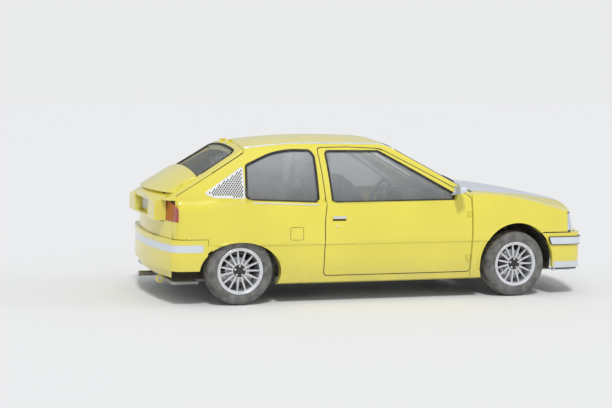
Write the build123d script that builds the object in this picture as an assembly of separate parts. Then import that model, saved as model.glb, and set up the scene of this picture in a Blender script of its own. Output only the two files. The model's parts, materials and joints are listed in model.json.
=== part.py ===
from build123d import *
import copy
import math
import os

os.makedirs("parts", exist_ok=True)

# A compact three-door rally hatchback in millimetres.
# X points forward, Y to the left, Z up; the origin is on the ground under the middle of the car.

# Overall size
length_overall = 3998.0
half_width = 831.5
roof_top = 1398.0
wheelbase = 2520.0
front_overhang = 800.0
x_nose = length_overall / 2
x_tail = -length_overall / 2
x_front_axle = x_nose - front_overhang
x_rear_axle = x_front_axle - wheelbase

# Wheels and tyres
tyre_radius = 289.0
tyre_width = 185.0
rim_flange_radius = 196.0
rim_seat_radius = 178.0
rim_wall = 9.0
rim_width = 160.0
track_front = 1400.0
track_rear = 1406.0
spoke_count = 15
spoke_width = 12.0
spoke_depth = 20.0
hub_radius = 62.0
hub_depth = 46.0
spoke_face = 62.0
stub_radius = 28.0
running_gap = 0.3

# Fits between panels
shut_gap = 5.0
seat_gap = 0.3
moving_gap = 6.0

# Body sides: a bowed section swept round a very large plan radius
side_plan_radius = 60000.0
side_widest_x = -100.0
sill_z = 165.0
sill_tuck = 92.0
crease_z = 508.0
crease_step = 7.0
waist_z = 845.0
waist_inset = 34.0
side_top_z = 1010.0
side_top_inset = 66.0

# Nose and tail in plan
nose_plan_radius = 2000.0
tail_plan_radius = 3000.0
nose_corner = 140.0
tail_corner = 110.0
nose_x_low = 1944.0
nose_x_high = 1819.0
tail_x_low = -1968.0
tail_x_high = -1932.0
plan_low_z = 500.0
plan_high_z = 1000.0
plan_half_width = 808.0

# Bonnet, belt and boot line, one row a station: x, height on the centre line, height at the reference half width
deck_reference_y = 800.0
deck_stations = [
    (-2050.0, 984.0, 880.0),
    (-1200.0, 966.0, 860.0),
    (-400.0, 960.0, 842.0),
    (300.0, 968.0, 874.0),
    (870.0, 974.0, 906.0),
    (1150.0, 952.0, 880.0),
    (1500.0, 896.0, 800.0),
    (1980.0, 796.0, 676.0),
]
deck_side_y = 1000.0
shoulder_radius = 26.0

# Cabin above the belt
cabin_plan_radius = 18000.0
cabin_widest_x = -150.0
glass_base_y = 752.0
glass_base_z = 850.0
glass_mid_y = 688.0
glass_mid_z = 1070.0
glass_top_y = 575.0
glass_top_z = 1300.0
cabin_crown_radius = 3300.0
screen_foot_x = 875.0
screen_foot_z = 960.0
screen_head_x = 95.0
screen_head_z = 1345.0
roof_front_x = -120.0
roof_front_z = 1387.0
roof_mid_x = -640.0
roof_mid_z = 1392.0
roof_rear_x = -1250.0
roof_rear_z = 1336.0
hatch_foot_x = -1850.0
hatch_foot_z = 980.0
pillar_depth = 42.0
roof_depth = 30.0
cantrail_radius = 16.0

# Cabin cavity and floor
cavity_half_width = 716.0
floor_z = 182.0
floor_thick = 22.0
bulkhead_x = 690.0
bulkhead_thick = 20.0

# Wheel arches
front_arch_radius = 348.0
front_arch_z = 308.0
rear_arch_half_length = 355.0
rear_arch_rise = 262.0
rear_arch_z = 270.0
wheelhouse_wall = 12.0
front_house_inner_y = 440.0
front_house_radius = front_arch_radius
rear_house_radius = 322.0
rear_house_inner_y = 590.0
rear_house_outer_y = 807.0

# Doors, in side view
door_front_x = 755.0
door_rear_x = -590.0
door_foot_z = 236.0
door_head_z = 1309.0
door_corner_radius = 24.0
door_open_deg = 66.0

# Bonnet and hatch outlines
bonnet_rear_x = 812.0
bonnet_rear_half = 690.0
bonnet_front_half = 640.0
bonnet_depth = 26.0
bonnet_lip_z = 752.0
bonnet_open_deg = 50.0
hatch_depth = 40.0
hatch_foot_edge_z = 690.0
hatch_lower_half = 520.0
hatch_open_deg = 72.0


def anticlockwise(points):
    """The same outline, listed anticlockwise."""
    twice = sum(a[0] * b[1] - b[0] * a[1] for a, b in zip(points, points[1:] + points[:1]))
    return points if twice > 0 else points[::-1]


def across(sketch, y0, y1):
    """A side-view face, drawn as X and Z, carried straight across from y0 to y1."""
    return Pos(0, y1, 0) * extrude(Plane.XZ * sketch, amount=y1 - y0)


def outline_face(points, radius=0.0, grow=0.0):
    """A closed flat outline, with rounded corners and grown or shrunk all round when asked."""
    points = anticlockwise(points)
    line = FilletPolyline(*points, radius=radius, close=True) if radius else Polyline(*points, close=True)
    face = make_face(line)
    return offset(face, amount=grow) if grow else face


def side_prism(points, y0, y1, radius=0.0, grow=0.0):
    """A side-view outline carried across from y0 to y1."""
    return across(outline_face(points, radius, grow), y0, y1)


def plan_prism(points, z0, z1):
    """A plan outline carried straight up from z0 to z1."""
    return Pos(0, 0, z0) * extrude(outline_face(points), amount=z1 - z0)


def block(x0, x1, y0, y1, z0, z1):
    """A plain box between two corners."""
    return Pos((x0 + x1) / 2, (y0 + y1) / 2, (z0 + z1) / 2) * Box(x1 - x0, y1 - y0, z1 - z0)


def cross_cylinder(x, z, radius, y0, y1):
    """A round bar along Y."""
    return Pos(x, (y0 + y1) / 2, z) * Rot(90, 0, 0) * Cylinder(radius, y1 - y0)


def tube_between(a, b, radius):
    """A round bar between two points."""
    line = Vector(*b) - Vector(*a)
    plane = Plane(origin=a, z_dir=line)
    return extrude(plane * Circle(radius), amount=line.length, dir=line.normalized())


def both_sides(solid):
    """A solid and its mirror image across the centre plane."""
    return [solid, mirror(solid, about=Plane.XZ)]


def save(name, solids):
    """Writes one node."""
    if not isinstance(solids, (list, tuple)):
        solids = [solids]
    found = []
    for item in solids:
        found.extend(item.solids())
    shape = found[0] if len(found) == 1 else Compound(children=found)
    export_step(shape, f"parts/{name}.step")


def swept_flank(edges, x_widest, plan_radius, widest_y, half_length):
    """A left flank: a closed Y-Z section turned about a far upright axis, then cut to both flanks."""
    face = make_face(Wire(edges))
    axis = Axis((x_widest, widest_y - plan_radius, 0), (0, 0, 1))
    half_arc = math.degrees(math.asin(half_length / plan_radius))
    solid = revolve(face.rotate(axis, -half_arc), axis=axis, revolution_arc=2 * half_arc)
    return solid & mirror(solid, about=Plane.XZ)


def lower_flanks():
    """Sill to wing top: tucked sill, crease and a bowed upper side."""
    x = side_widest_x
    crease_y = half_width
    under = [
        Vector(x, -900, sill_z),
        Vector(x, crease_y - sill_tuck, sill_z),
        Vector(x, crease_y - 58, sill_z + 14),
        Vector(x, crease_y - 30, sill_z + 150),
        Vector(x, crease_y - crease_step, crease_z - 5),
        Vector(x, crease_y, crease_z),
    ]
    waist = Vector(x, crease_y - waist_inset, waist_z)
    bow = Vector(x, crease_y - 8, (crease_z + waist_z) / 2 + 10)
    top = Vector(x, crease_y - side_top_inset, side_top_z)
    edges = [Line(a, b) for a, b in zip(under, under[1:])]
    edges.append(ThreePointArc(under[-1], bow, waist))
    edges.append(Line(waist, top))
    edges.append(Line(top, Vector(x, -900, side_top_z)))
    edges.append(Line(Vector(x, -900, side_top_z), under[0]))
    return swept_flank(edges, x, side_plan_radius, half_width, 2200)


def plan_outline(x_front, x_rear, z, half, side_bow):
    """Nose arc, corner arcs, bowed sides and tail arc, joined tangent at the corners."""
    def corner(tip, radius, big, small, way):
        centre_x = tip - way * big
        small_x = centre_x + way * math.sqrt((big - small) ** 2 - (half - small) ** 2)
        lean = math.atan2(half - small, abs(small_x - centre_x))
        touch = (centre_x + way * big * math.cos(lean), big * math.sin(lean))
        mid_angle = (lean + math.pi / 2) / 2
        mid = (small_x + way * small * math.cos(mid_angle), half - small + small * math.sin(mid_angle))
        return small_x, touch, mid
    fx, f_touch, f_mid = corner(x_front, nose_corner, nose_plan_radius, nose_corner, 1)
    rx, r_touch, r_mid = corner(x_rear, tail_corner, tail_plan_radius, tail_corner, -1)
    def at(p, s=1):
        return Vector(p[0], s * p[1], z)
    edges = [
        ThreePointArc(at(f_touch, -1), Vector(x_front, 0, z), at(f_touch)),
        ThreePointArc(at(f_touch), at(f_mid), Vector(fx, half, z)),
        ThreePointArc(Vector(fx, half, z), Vector(side_widest_x, half + side_bow, z), Vector(rx, half, z)),
        ThreePointArc(Vector(rx, half, z), at(r_mid), at(r_touch)),
        ThreePointArc(at(r_touch), Vector(x_rear, 0, z), at(r_touch, -1)),
        ThreePointArc(at(r_touch, -1), at(r_mid, -1), Vector(rx, -half, z)),
        ThreePointArc(Vector(rx, -half, z), Vector(side_widest_x, -half - side_bow, z), Vector(fx, -half, z)),
        ThreePointArc(Vector(fx, -half, z), at(f_mid, -1), at(f_touch, -1)),
    ]
    return make_face(Wire(edges))


def plan_block():
    """The nose and tail as seen from above, upright below and leaning in above."""
    side_bow = 28.0
    low = plan_outline(nose_x_low, tail_x_low, plan_low_z, plan_half_width, side_bow)
    high = plan_outline(nose_x_high, tail_x_high, plan_high_z, plan_half_width, side_bow)
    upper = loft([low, high], ruled=True)
    lower = Pos(0, 0, sill_z - plan_low_z) * extrude(low, amount=plan_low_z - sill_z)
    return upper + lower


def deck_block(drop=0.0):
    """Everything under the bonnet, belt and boot line: crowned sections lofted along the car."""
    faces = []
    for x, centre, side in deck_stations:
        fall = (centre - side) * (deck_side_y / deck_reference_y) ** 2
        edge_z = centre - fall - drop
        left = Vector(x, deck_side_y, edge_z)
        right = Vector(x, -deck_side_y, edge_z)
        foot_left = Vector(x, deck_side_y, 0)
        foot_right = Vector(x, -deck_side_y, 0)
        edges = [
            ThreePointArc(right, Vector(x, 0, centre - drop), left),
            Line(left, foot_left),
            Line(foot_left, foot_right),
            Line(foot_right, right),
        ]
        faces.append(make_face(Wire(edges)))
    return loft(faces)


def cabin_flanks(inset):
    """Greenhouse sides with curved tumblehome."""
    x = cabin_widest_x
    base = Vector(x, glass_base_y - inset, glass_base_z)
    mid = Vector(x, glass_mid_y - inset, glass_mid_z)
    top = Vector(x, glass_top_y - inset, glass_top_z)
    foot = Vector(x, glass_base_y + 34 - inset, 700)
    crown = Vector(x, glass_top_y - 60 - inset, 1440)
    far_low = Vector(x, -900, 700)
    far_high = Vector(x, -900, 1440)
    edges = [
        Line(far_low, foot),
        Line(foot, base),
        ThreePointArc(base, mid, top),
        Line(top, crown),
        Line(crown, far_high),
        Line(far_high, far_low),
    ]
    return swept_flank(edges, x, cabin_plan_radius, glass_base_y, 2300)


def cabin_roll(depth):
    """Screen, roof and hatch line in side view, turned about a low axis along the car for the crown."""
    slope = math.atan2(screen_head_z - screen_foot_z, screen_foot_x - screen_head_x)
    fall = math.atan2(roof_rear_z - hatch_foot_z, roof_rear_x - hatch_foot_x)
    sx, sz = depth * math.sin(slope), depth * math.cos(slope)
    hx, hz = depth * math.sin(fall), depth * math.cos(fall)
    run = 1.25
    screen_low = Vector(
        screen_head_x + run * (screen_foot_x - screen_head_x) - sx,
        0,
        screen_head_z + run * (screen_foot_z - screen_head_z) - sz,
    )
    screen_high = Vector(screen_head_x - sx, 0, screen_head_z - sz)
    roof_front = Vector(roof_front_x, 0, roof_front_z - depth)
    roof_mid = Vector(roof_mid_x, 0, roof_mid_z - depth)
    roof_rear = Vector(roof_rear_x + hx / 2, 0, roof_rear_z - depth * 1.02)
    hatch_low = Vector(
        roof_rear_x + run * (hatch_foot_x - roof_rear_x) + hx,
        0,
        roof_rear_z + run * (hatch_foot_z - roof_rear_z) - hz,
    )
    hatch_high = Vector(roof_rear_x + hx / 2, 0, roof_rear_z - depth * 1.02)
    header = Vector((roof_front.X + screen_high.X) / 2 + 12, 0, (roof_front.Z + screen_high.Z) / 2 + 11)
    edges = [
        Line(screen_low, screen_high),
        ThreePointArc(screen_high, header, roof_front),
        ThreePointArc(roof_front, roof_mid, roof_rear),
        Line(hatch_high, hatch_low),
        Line(hatch_low, Vector(hatch_low.X, 0, 300)),
        Line(Vector(hatch_low.X, 0, 300), Vector(screen_low.X, 0, 300)),
        Line(Vector(screen_low.X, 0, 300), screen_low),
    ]
    face = make_face(Wire(edges))
    axis = Axis((0, 0, roof_top - cabin_crown_radius), (1, 0, 0))
    half_arc = 22.0
    return revolve(face.rotate(axis, -half_arc), axis=axis, revolution_arc=2 * half_arc)


# Master shapes
lower_outer = lower_flanks() & plan_block() & deck_block()
lower_master = copy.deepcopy(lower_outer)
cabin_outer = cabin_flanks(0) & cabin_roll(0)
body_outer = lower_outer + cabin_outer
scuttle_x = 780.0
cabin_inner = cabin_flanks(pillar_depth) & cabin_roll(roof_depth)
cabin_inner = cabin_inner & block(-1900, scuttle_x, -900, 900, 600, 1500)
boot_x = -1890.0
cavity_top_z = glass_base_z + 4
cavity = block(boot_x, bulkhead_x, -cavity_half_width, cavity_half_width, floor_z, cavity_top_z)
cavity = cavity + cabin_inner


nose_plan = plan_block()


def lower_moved(x=0.0, y=0.0):
    """A fresh copy of the lower body, moved for what stands proud of it or sinks into it."""
    return Pos(x, y, 0) * copy.deepcopy(lower_master)


def under_skin(down, back):
    """What lies under the bonnet skin and behind the nose skin."""
    return deck_block(down) & Pos(-back, 0, 0) * nose_plan


# Front wheel arch and rear wheel arch cutters
def front_arch_cut(inner_y, radius):
    return both_sides(cross_cylinder(x_front_axle, front_arch_z, radius, inner_y, 1000))


def rear_arch_cut(inner_y, outer_y=1000.0):
    ellipse = Pos(x_rear_axle, rear_arch_z) * Ellipse(rear_arch_half_length, rear_arch_rise)
    return both_sides(across(ellipse, inner_y, outer_y))


def rear_house_cut():
    return both_sides(cross_cylinder(x_rear_axle, tyre_radius, rear_house_radius, rear_house_inner_y, rear_house_outer_y))


# Door outline, in side view, and the window in it
door_points = [
    (door_front_x, door_foot_z),
    (door_rear_x, door_foot_z),
    (door_rear_x - 3, 700),
    (-566, 880),
    (-600, door_head_z - 5),
    (-330, door_head_z),
    (-30, door_head_z - 12),
    (690, 926),
    (door_front_x, 880),
]
door_window_points = [
    (-506, 850),
    (-536, 1277),
    (-52, 1277),
    (610, 918),
    (640, 862),
]
quarter_window_points = [
    (-1255, 900),
    (-1215, 873),
    (-655, 852),
    (-632, 880),
    (-640, 1236),
    (-672, 1281),
    (-850, 1284),
    (-1015, 1257),
    (-1240, 1158),
]
vent_points = [
    (-1272, 1150),
    (-1266, 886),
    (-1520, 894),
    (-1610, 926),
]
window_radius = 28.0
quarter_radius = 16.0
vent_radius = 10.0
glass_thick = 5.0
glass_recess = 7.0


def side_window(points, radius, grow=0.0):
    """A window outline carried across the left side only."""
    return side_prism(points, 400, 900, radius, grow)


def glass_pane(opening, recess=glass_recess):
    """A pane that follows the cabin skin inside an opening."""
    outer = cabin_flanks(recess) & opening
    return outer - cabin_flanks(recess + glass_thick)


# Screen and hatch glass outlines in plan
screen_points = [
    (768, -606),
    (768, 606),
    (130, 498),
    (130, -498),
]
hatch_glass_points = [
    (-1310, 480),
    (-1310, -480),
    (-1730, -540),
    (-1730, 540),
]
screen_radius = 60.0


def plan_window(points, radius, grow=0.0):
    """A screen outline carried straight up through the roof line."""
    return Pos(0, 0, 840) * extrude(outline_face(points, radius, grow), amount=600)


def roof_pane(opening):
    """A pane that follows the screen or hatch line inside an opening."""
    return (cabin_roll(glass_recess) & opening) - cabin_roll(glass_recess + glass_thick)


# Regions
door_region = side_prism(door_points, 300, 1000, door_corner_radius)
door_hole = side_prism(door_points, 300, 1000, door_corner_radius, shut_gap)
door_inner_y = cavity_half_width + 10.0
roof_half = 546.0
roof_rear_edge = roof_rear_x + 6
roof_front_edge = 122.0


def roof_region(grow=0.0):
    """The roof panel between its rails, in plan, bowed like the cabin sides."""
    rail_bow = 42.0
    half = roof_half + grow
    x0 = roof_rear_edge - grow
    x1 = roof_front_edge + grow
    edges = [
        ThreePointArc((x0, -half + rail_bow, 1150), (cabin_widest_x, -half, 1150), (x1, -half + 4, 1150)),
        Line((x1, -half + 4, 1150), (x1, half - 4, 1150)),
        ThreePointArc((x1, half - 4, 1150), (cabin_widest_x, half, 1150), (x0, half - rail_bow, 1150)),
        Line((x0, half - rail_bow, 1150), (x0, -half + rail_bow, 1150)),
    ]
    return extrude(make_face(Wire(edges)), amount=400)


hatch_side_points = [
    (roof_rear_edge - shut_gap, 1500),
    (roof_rear_edge - shut_gap, 1262),
    (-1850, 905),
    (-1872, hatch_foot_edge_z),
    (-2100, hatch_foot_edge_z),
    (-2100, 1500),
]


def hatch_region(grow=0.0):
    """Everything behind and above the hatch shut line, narrower between the tail lamps."""
    whole = side_prism(hatch_side_points, -1000, 1000, 0.0, grow)
    upper = block(-2200, -1000, -1000, 1000, 905, 1600)
    lower = block(-2200, -1000, -hatch_lower_half - grow, hatch_lower_half + grow, 500, 910)
    return whole & (upper + lower)


walls = body_outer - cavity

# Side panels: sill, pillars, cant rail and rear quarter in one
nose_join_x = 768.0
bumper_top_z = 562.0
rear_bumper_front_x = -1600.0
rear_panel_x = -1880.0
rear_panel_half = 700.0
rear_panel_low_z = 236.0
lamp_low_z = 700.0
lamp_high_z = 872.0
lamp_inner_y = 540.0
lamp_front_x = -1842.0


def biggest(shape):
    """The main solid of a cut, without slivers."""
    return max(shape.solids(), key=lambda s: s.volume)


side_zone = block(-2100, nose_join_x - shut_gap, 400, 1000, sill_z - 1, 1500)
rear_zone_cut = block(-2100, rear_bumper_front_x, 0, 1000, 100, bumper_top_z)
tail_lamp_zone = block(-2100, lamp_front_x, lamp_inner_y, 1000, lamp_low_z, lamp_high_z)
side_left = walls & side_zone
side_left = side_left - door_hole - roof_region(shut_gap) - hatch_region(shut_gap)
side_left = side_left - side_window(quarter_window_points, quarter_radius)
side_left = side_left - side_window(vent_points, vent_radius)
side_left = side_left - plan_window(screen_points, screen_radius)
side_left = side_left - rear_arch_cut(560)[0] - rear_house_cut()[0] - rear_zone_cut - tail_lamp_zone
side_left = side_left - block(bulkhead_x - 1, 800, 300, 690, 100, cavity_top_z + 16)
side_left = side_left - block(-2100, 800, 300, cavity_half_width, 100, floor_z)
side_left = side_left - block(-2100, rear_panel_x + 1, 300, rear_panel_half, 100, lamp_low_z)
side_left = biggest(side_left)

lip_wide = 16.0
lip_proud = 6.0


def rear_arch_lip():
    """A rolled lip round the rear arch, standing proud of the side."""
    outer = Pos(x_rear_axle, rear_arch_z) * Ellipse(rear_arch_half_length + lip_wide, rear_arch_rise + lip_wide)
    inner = Pos(x_rear_axle, rear_arch_z) * Ellipse(rear_arch_half_length, rear_arch_rise)
    ring = across(outer - inner, rear_house_outer_y + 1, 1000)
    return ring & lower_moved(0, lip_proud) & block(-1600, 0, 0, 1000, 262, 700)


def front_arch_lip():
    """The same round the front arch."""
    ring = Circle(front_arch_radius + lip_wide) - Circle(front_arch_radius)
    ring = across(Pos(x_front_axle, front_arch_z) * ring, cavity_half_width + 40, 1000)
    return ring & lower_moved(0, lip_proud)


side_left = side_left + rear_arch_lip()

# Hinge posts and door hinges
hinge_x = door_front_x - 26.0
hinge_y = 812.0
hinge_pin_radius = 6.0
hinge_eye_radius = 12.0
hinge_heights = (360.0, 740.0)
hinge_eye_height = 26.0
hinge_pocket_height = 44.0
post = block(door_front_x - 60, nose_join_x - shut_gap, 690, cavity_half_width + 0.5, floor_z, cavity_top_z)
side_left = side_left + post
for height in hinge_heights:
    half = hinge_eye_height / 2
    strap = block(hinge_x - 9, hinge_x + 9, cavity_half_width - 4, hinge_y, height - half, height + half)
    eye = Pos(hinge_x, hinge_y, height) * Cylinder(hinge_eye_radius, hinge_eye_height)
    bore = Pos(hinge_x, hinge_y, height) * Cylinder(hinge_pin_radius + running_gap, 60)
    side_left = side_left + (strap + eye - bore)
side_panels = both_sides(biggest(side_left))
save("side_panel_left", side_panels[0])
save("side_panel_right", side_panels[1])

# Doors
door_left = body_outer & door_region
door_left = door_left - block(-800, 900, 0, door_inner_y, 0, cavity_top_z) - cabin_inner
door_left = door_left - block(600, 900, 0, door_inner_y, 0, 900)
door_left = door_left - side_window(door_window_points, window_radius)
for height in hinge_heights:
    half = hinge_pocket_height / 2
    pocket = block(hinge_x - 20, door_front_x + 10, door_inner_y - 5, hinge_y + 14, height - half, height + half)
    pin = Pos(hinge_x, hinge_y, height) * Cylinder(hinge_pin_radius, hinge_pocket_height + 8)
    door_left = door_left - pocket + pin
handle_face = lower_moved(0, 13)
handle = block(-534, -407, 780, 900, 717, 742) & handle_face
finger_recess = block(-528, -413, 780, 900, 698, 716) - lower_moved(0, -12)
lock = cross_cylinder(-489, 657, 9, 790, 900) & lower_moved(0, 3)
door_left = door_left - finger_recess + handle + lock
doors = both_sides(biggest(door_left))
save("door_left", doors[0])
save("door_right", doors[1])

# Side glass
door_glass = glass_pane(side_window(door_window_points, window_radius, -seat_gap))
door_glasses = both_sides(biggest(door_glass))
save("door_glass_left", door_glasses[0])
save("door_glass_right", door_glasses[1])
save("quarter_glass", both_sides(biggest(glass_pane(side_window(quarter_window_points, quarter_radius, -seat_gap)))))

# Vent panels in the rear pillars
vent_depth = 10.0
vent_plate = cabin_flanks(1.5) & side_window(vent_points, vent_radius, -seat_gap)
vent_plate = biggest(vent_plate - cabin_flanks(1.5 + vent_depth))
save("vent_panels", both_sides(vent_plate))

# Roof
roof = (cabin_outer & roof_region()) - cabin_inner
roof = roof - plan_window(screen_points, screen_radius)
for hole in both_sides(door_hole):
    roof = roof - hole
roof = biggest(roof)
hatch_hinge_x = roof_rear_edge + 4.0
hatch_hinge_z = 1345.0
hatch_hinge_y = 120.0
hatch_knuckle_radius = 6.0
hatch_pin_radius = 3.0
hatch_knuckle_half = 9.0
hatch_lug_wide = 8.0
for side in (1, -1):
    y = side * hatch_hinge_y
    out = hatch_knuckle_half + 1 + hatch_lug_wide
    for way in (1, -1):
        near = y + way * (hatch_knuckle_half + 1)
        far = y + way * out
        lug = block(
            hatch_hinge_x - 5, hatch_hinge_x + 16, min(near, far), max(near, far), hatch_hinge_z - 18, hatch_hinge_z + 5
        )
        roof = roof + (lug - block(hatch_hinge_x - 8, roof_rear_edge, -200, 200, 1200, hatch_hinge_z - 4))
    roof = roof + cross_cylinder(hatch_hinge_x, hatch_hinge_z, hatch_pin_radius, y - out, y + out)
save("roof_panel", roof)

# Screen and hatch glass
save("windscreen", biggest(roof_pane(plan_window(screen_points, screen_radius, -seat_gap))))

# Hatch with its spoiler
hatch_shell = body_outer & hatch_region()
hatch_inner = (cabin_flanks(hatch_depth) & cabin_roll(hatch_depth)) & block(-1905, -1000, -900, 900, 600, 1500)
hatch_lower_inner = block(-1902, -1600, -hatch_lower_half + 60, hatch_lower_half - 60, 500, 960)
hatch = hatch_shell - hatch_inner - hatch_lower_inner - block(-1880, -1000, -900, 900, 500, 900)
hatch = hatch - plan_window(hatch_glass_points, screen_radius)
hatch = biggest(hatch)
spoiler_rise = 22.0
spoiler_half = 556.0
spoiler_front_x = -1652.0
raised = cabin_flanks(3) & cabin_roll(-spoiler_rise)
raised = raised + (lower_moved() & block(-2100, -1700, -900, 900, 900, 1100))
raised = raised + (lower_flanks() & plan_block() & deck_block(-spoiler_rise) & block(-2100, -1790, -900, 900, 900, 1100))
spoiler = raised & block(-2100, spoiler_front_x, -spoiler_half, spoiler_half, 930, 1300)
spoiler = spoiler & hatch_region()
spoiler = spoiler - hatch_inner - (plan_window(hatch_glass_points, screen_radius) & cabin_roll(-2))
hatch = hatch + spoiler
plate_recess = block(-2100, -1900, -270, 270, 716, 850) - Pos(9, 0, 0) * plan_block()
hatch = biggest(hatch - plate_recess)
for side in (1, -1):
    y = side * hatch_hinge_y
    low, high = y - hatch_knuckle_half, y + hatch_knuckle_half
    knuckle = cross_cylinder(hatch_hinge_x, hatch_hinge_z, hatch_knuckle_radius, low, high)
    bridge = block(hatch_hinge_x - 40, hatch_hinge_x, low, high, hatch_hinge_z - 4, hatch_hinge_z + 4)
    leaf = block(hatch_hinge_x - 40, roof_rear_edge - shut_gap, low, high, hatch_hinge_z - 38, hatch_hinge_z + 4)
    bore = cross_cylinder(hatch_hinge_x, hatch_hinge_z, hatch_pin_radius + running_gap, low - 9, high + 9)
    hatch = hatch + (knuckle + bridge + leaf) - bore
save("hatch", biggest(hatch))
save("hatch_glass", biggest(roof_pane(plan_window(hatch_glass_points, screen_radius, -seat_gap))))

# Bonnet
bonnet_points = [
    (bonnet_rear_x, -bonnet_rear_half),
    (bonnet_rear_x, bonnet_rear_half),
    (1500, 672),
    (1860, bonnet_front_half),
    (2100, bonnet_front_half),
    (2100, -bonnet_front_half),
    (1860, -bonnet_front_half),
    (1500, -672),
]
bonnet = (lower_moved() & plan_prism(bonnet_points, bonnet_lip_z, 1100)) - under_skin(bonnet_depth, bonnet_depth)
bonnet = biggest(bonnet)
bonnet_hinge_x = bonnet_rear_x + 12.0
bonnet_hinge_z = 903.0
bonnet_hinge_y = 560.0
bonnet_knuckle_half = 10.0
bonnet_knuckle_radius = 9.0
bonnet_pin_radius = 4.0
for side in (1, -1):
    low, high = side * bonnet_hinge_y - bonnet_knuckle_half, side * bonnet_hinge_y + bonnet_knuckle_half
    leaf = block(bonnet_hinge_x - 4, bonnet_hinge_x + 60, low, high, bonnet_hinge_z - 8, bonnet_hinge_z + 24)
    knuckle = cross_cylinder(bonnet_hinge_x, bonnet_hinge_z, bonnet_knuckle_radius, low, high)
    bore = cross_cylinder(bonnet_hinge_x, bonnet_hinge_z, bonnet_pin_radius + running_gap, low - 30, high + 30)
    bonnet = bonnet + (knuckle + leaf) - bore
save("bonnet", biggest(bonnet))

# Front wings
wing_region = plan_prism(
    [
        (nose_join_x, 1000),
        (2100, 1000),
        (2100, bonnet_front_half + shut_gap),
        (1860, bonnet_front_half + shut_gap),
        (1500, 672 + shut_gap),
        (nose_join_x, bonnet_rear_half + shut_gap),
    ],
    sill_z,
    1100,
)
head_lamp_inner_y = 330.0
head_lamp_low_z = 572.0
head_lamp_high_z = bonnet_lip_z - shut_gap
head_lamp_depth = 55.0
wing_left = lower_moved() & wing_region
wing_left = wing_left - front_arch_cut(400, front_arch_radius)[0]
liner_outer_y = 745.0
liner_space = cross_cylinder(
    x_front_axle, front_arch_z, front_arch_radius + wheelhouse_wall + seat_gap, 400, liner_outer_y + seat_gap
)
wing_left = wing_left - liner_space
wing_left = wing_left - block(x_front_axle, 2100, 0, 1000, 100, bumper_top_z)
behind_lamps = Pos(-head_lamp_depth, 0, 0) * nose_plan
wing_left = wing_left - block(1739 - seat_gap, 2100, 0, 1000, head_lamp_low_z - seat_gap, head_lamp_high_z + seat_gap)
wing_left = wing_left + (front_arch_lip() & block(nose_join_x, x_front_axle + 400, 0, 1000, 262, 1000))
wing_left = wing_left - block(x_front_axle, 2100, 0, 1000, 100, bumper_top_z)
wings = both_sides(biggest(wing_left))
save("front_wing_left", wings[0])
save("front_wing_right", wings[1])

# Head lamps and grille
lamp = lower_moved() & block(1739, 2100, head_lamp_inner_y, 1000, head_lamp_low_z, head_lamp_high_z)
save("head_lamps", both_sides(biggest(lamp - behind_lamps)))
grille_half = head_lamp_inner_y - seat_gap
grille = lower_moved() & block(1700, 2100, -grille_half, grille_half, head_lamp_low_z, head_lamp_high_z)
grille = grille - behind_lamps
louvre_depth = 24.0
louvre_height = 24.0
louvre_pitch = 38.0
for index in range(4):
    z = head_lamp_low_z + 20 + index * louvre_pitch
    slot = block(1700, 2100, -grille_half + 24, grille_half - 24, z, z + louvre_height)
    grille = grille - (slot - Pos(-louvre_depth, 0, 0) * nose_plan)
save("grille", biggest(grille))

# Front panel behind the lamps
front_panel_depth = 40.0
front_panel_half = 644.7
front_panel = lower_moved() & block(1500, 2100, -front_panel_half, front_panel_half, 300, head_lamp_high_z - 6)
front_panel = front_panel & Pos(-head_lamp_depth - seat_gap, 0, 0) * nose_plan
front_panel = front_panel - Pos(-head_lamp_depth - front_panel_depth, 0, 0) * nose_plan
tow_eye_radius = 20.0
tow_eye_wall = 14.0
tow_eye_half = 6.0
tow_y = 400.0
tow_front_x = 1850.0
tow_rear_x = -1918.0
tow_z = 190.0


def tow_eye(x, y, strap_x0, strap_x1, strap_top):
    """A towing eye in an upright plate, on a strap from above."""
    ring = cross_cylinder(x, tow_z, tow_eye_radius + tow_eye_wall, y - tow_eye_half, y + tow_eye_half)
    strap = block(strap_x0, strap_x1, y - tow_eye_half, y + tow_eye_half, tow_z, strap_top)
    hole = cross_cylinder(x, tow_z, tow_eye_radius, y - 40, y + 40)
    return ring + strap - hole


front_panel = biggest(front_panel) + tow_eye(tow_front_x, tow_y, 1816, 1840, 320)
save("front_panel", front_panel)

# Tail lamps
tail_lamp = lower_moved() & block(
    -2100,
    lamp_front_x - seat_gap,
    lamp_inner_y + seat_gap,
    1000,
    lamp_low_z + seat_gap,
    lamp_high_z - seat_gap,
)
save("tail_lamps", both_sides(biggest(tail_lamp)))

# Bumpers
bumper_low_z = 262.0
bumper_wall = 40.0
band_low_z = 462.0
band_high_z = 524.0
lip_low_z = 226.0
lip_high_z = 286.0
bumper_inset = 12.0


def bumper_outline(tip_x, inner=0.0):
    """A plan outline with the nose arc and long side returns."""
    return plan_outline(tip_x - inner, -1950 + inner, 0, plan_half_width + 4 - inner, 24)


def bumper_ring(tip_x, z0, z1, wall, proud=0.0):
    """A band of the front bumper between two heights."""
    outer = extrude(Pos(0, 0, z0) * bumper_outline(tip_x, -proud), amount=z1 - z0)
    inner = extrude(Pos(0, 0, z0) * bumper_outline(tip_x, wall), amount=z1 - z0)
    return (outer - inner) & block(x_front_axle, 2100, -1000, 1000, z0, z1)


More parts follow.
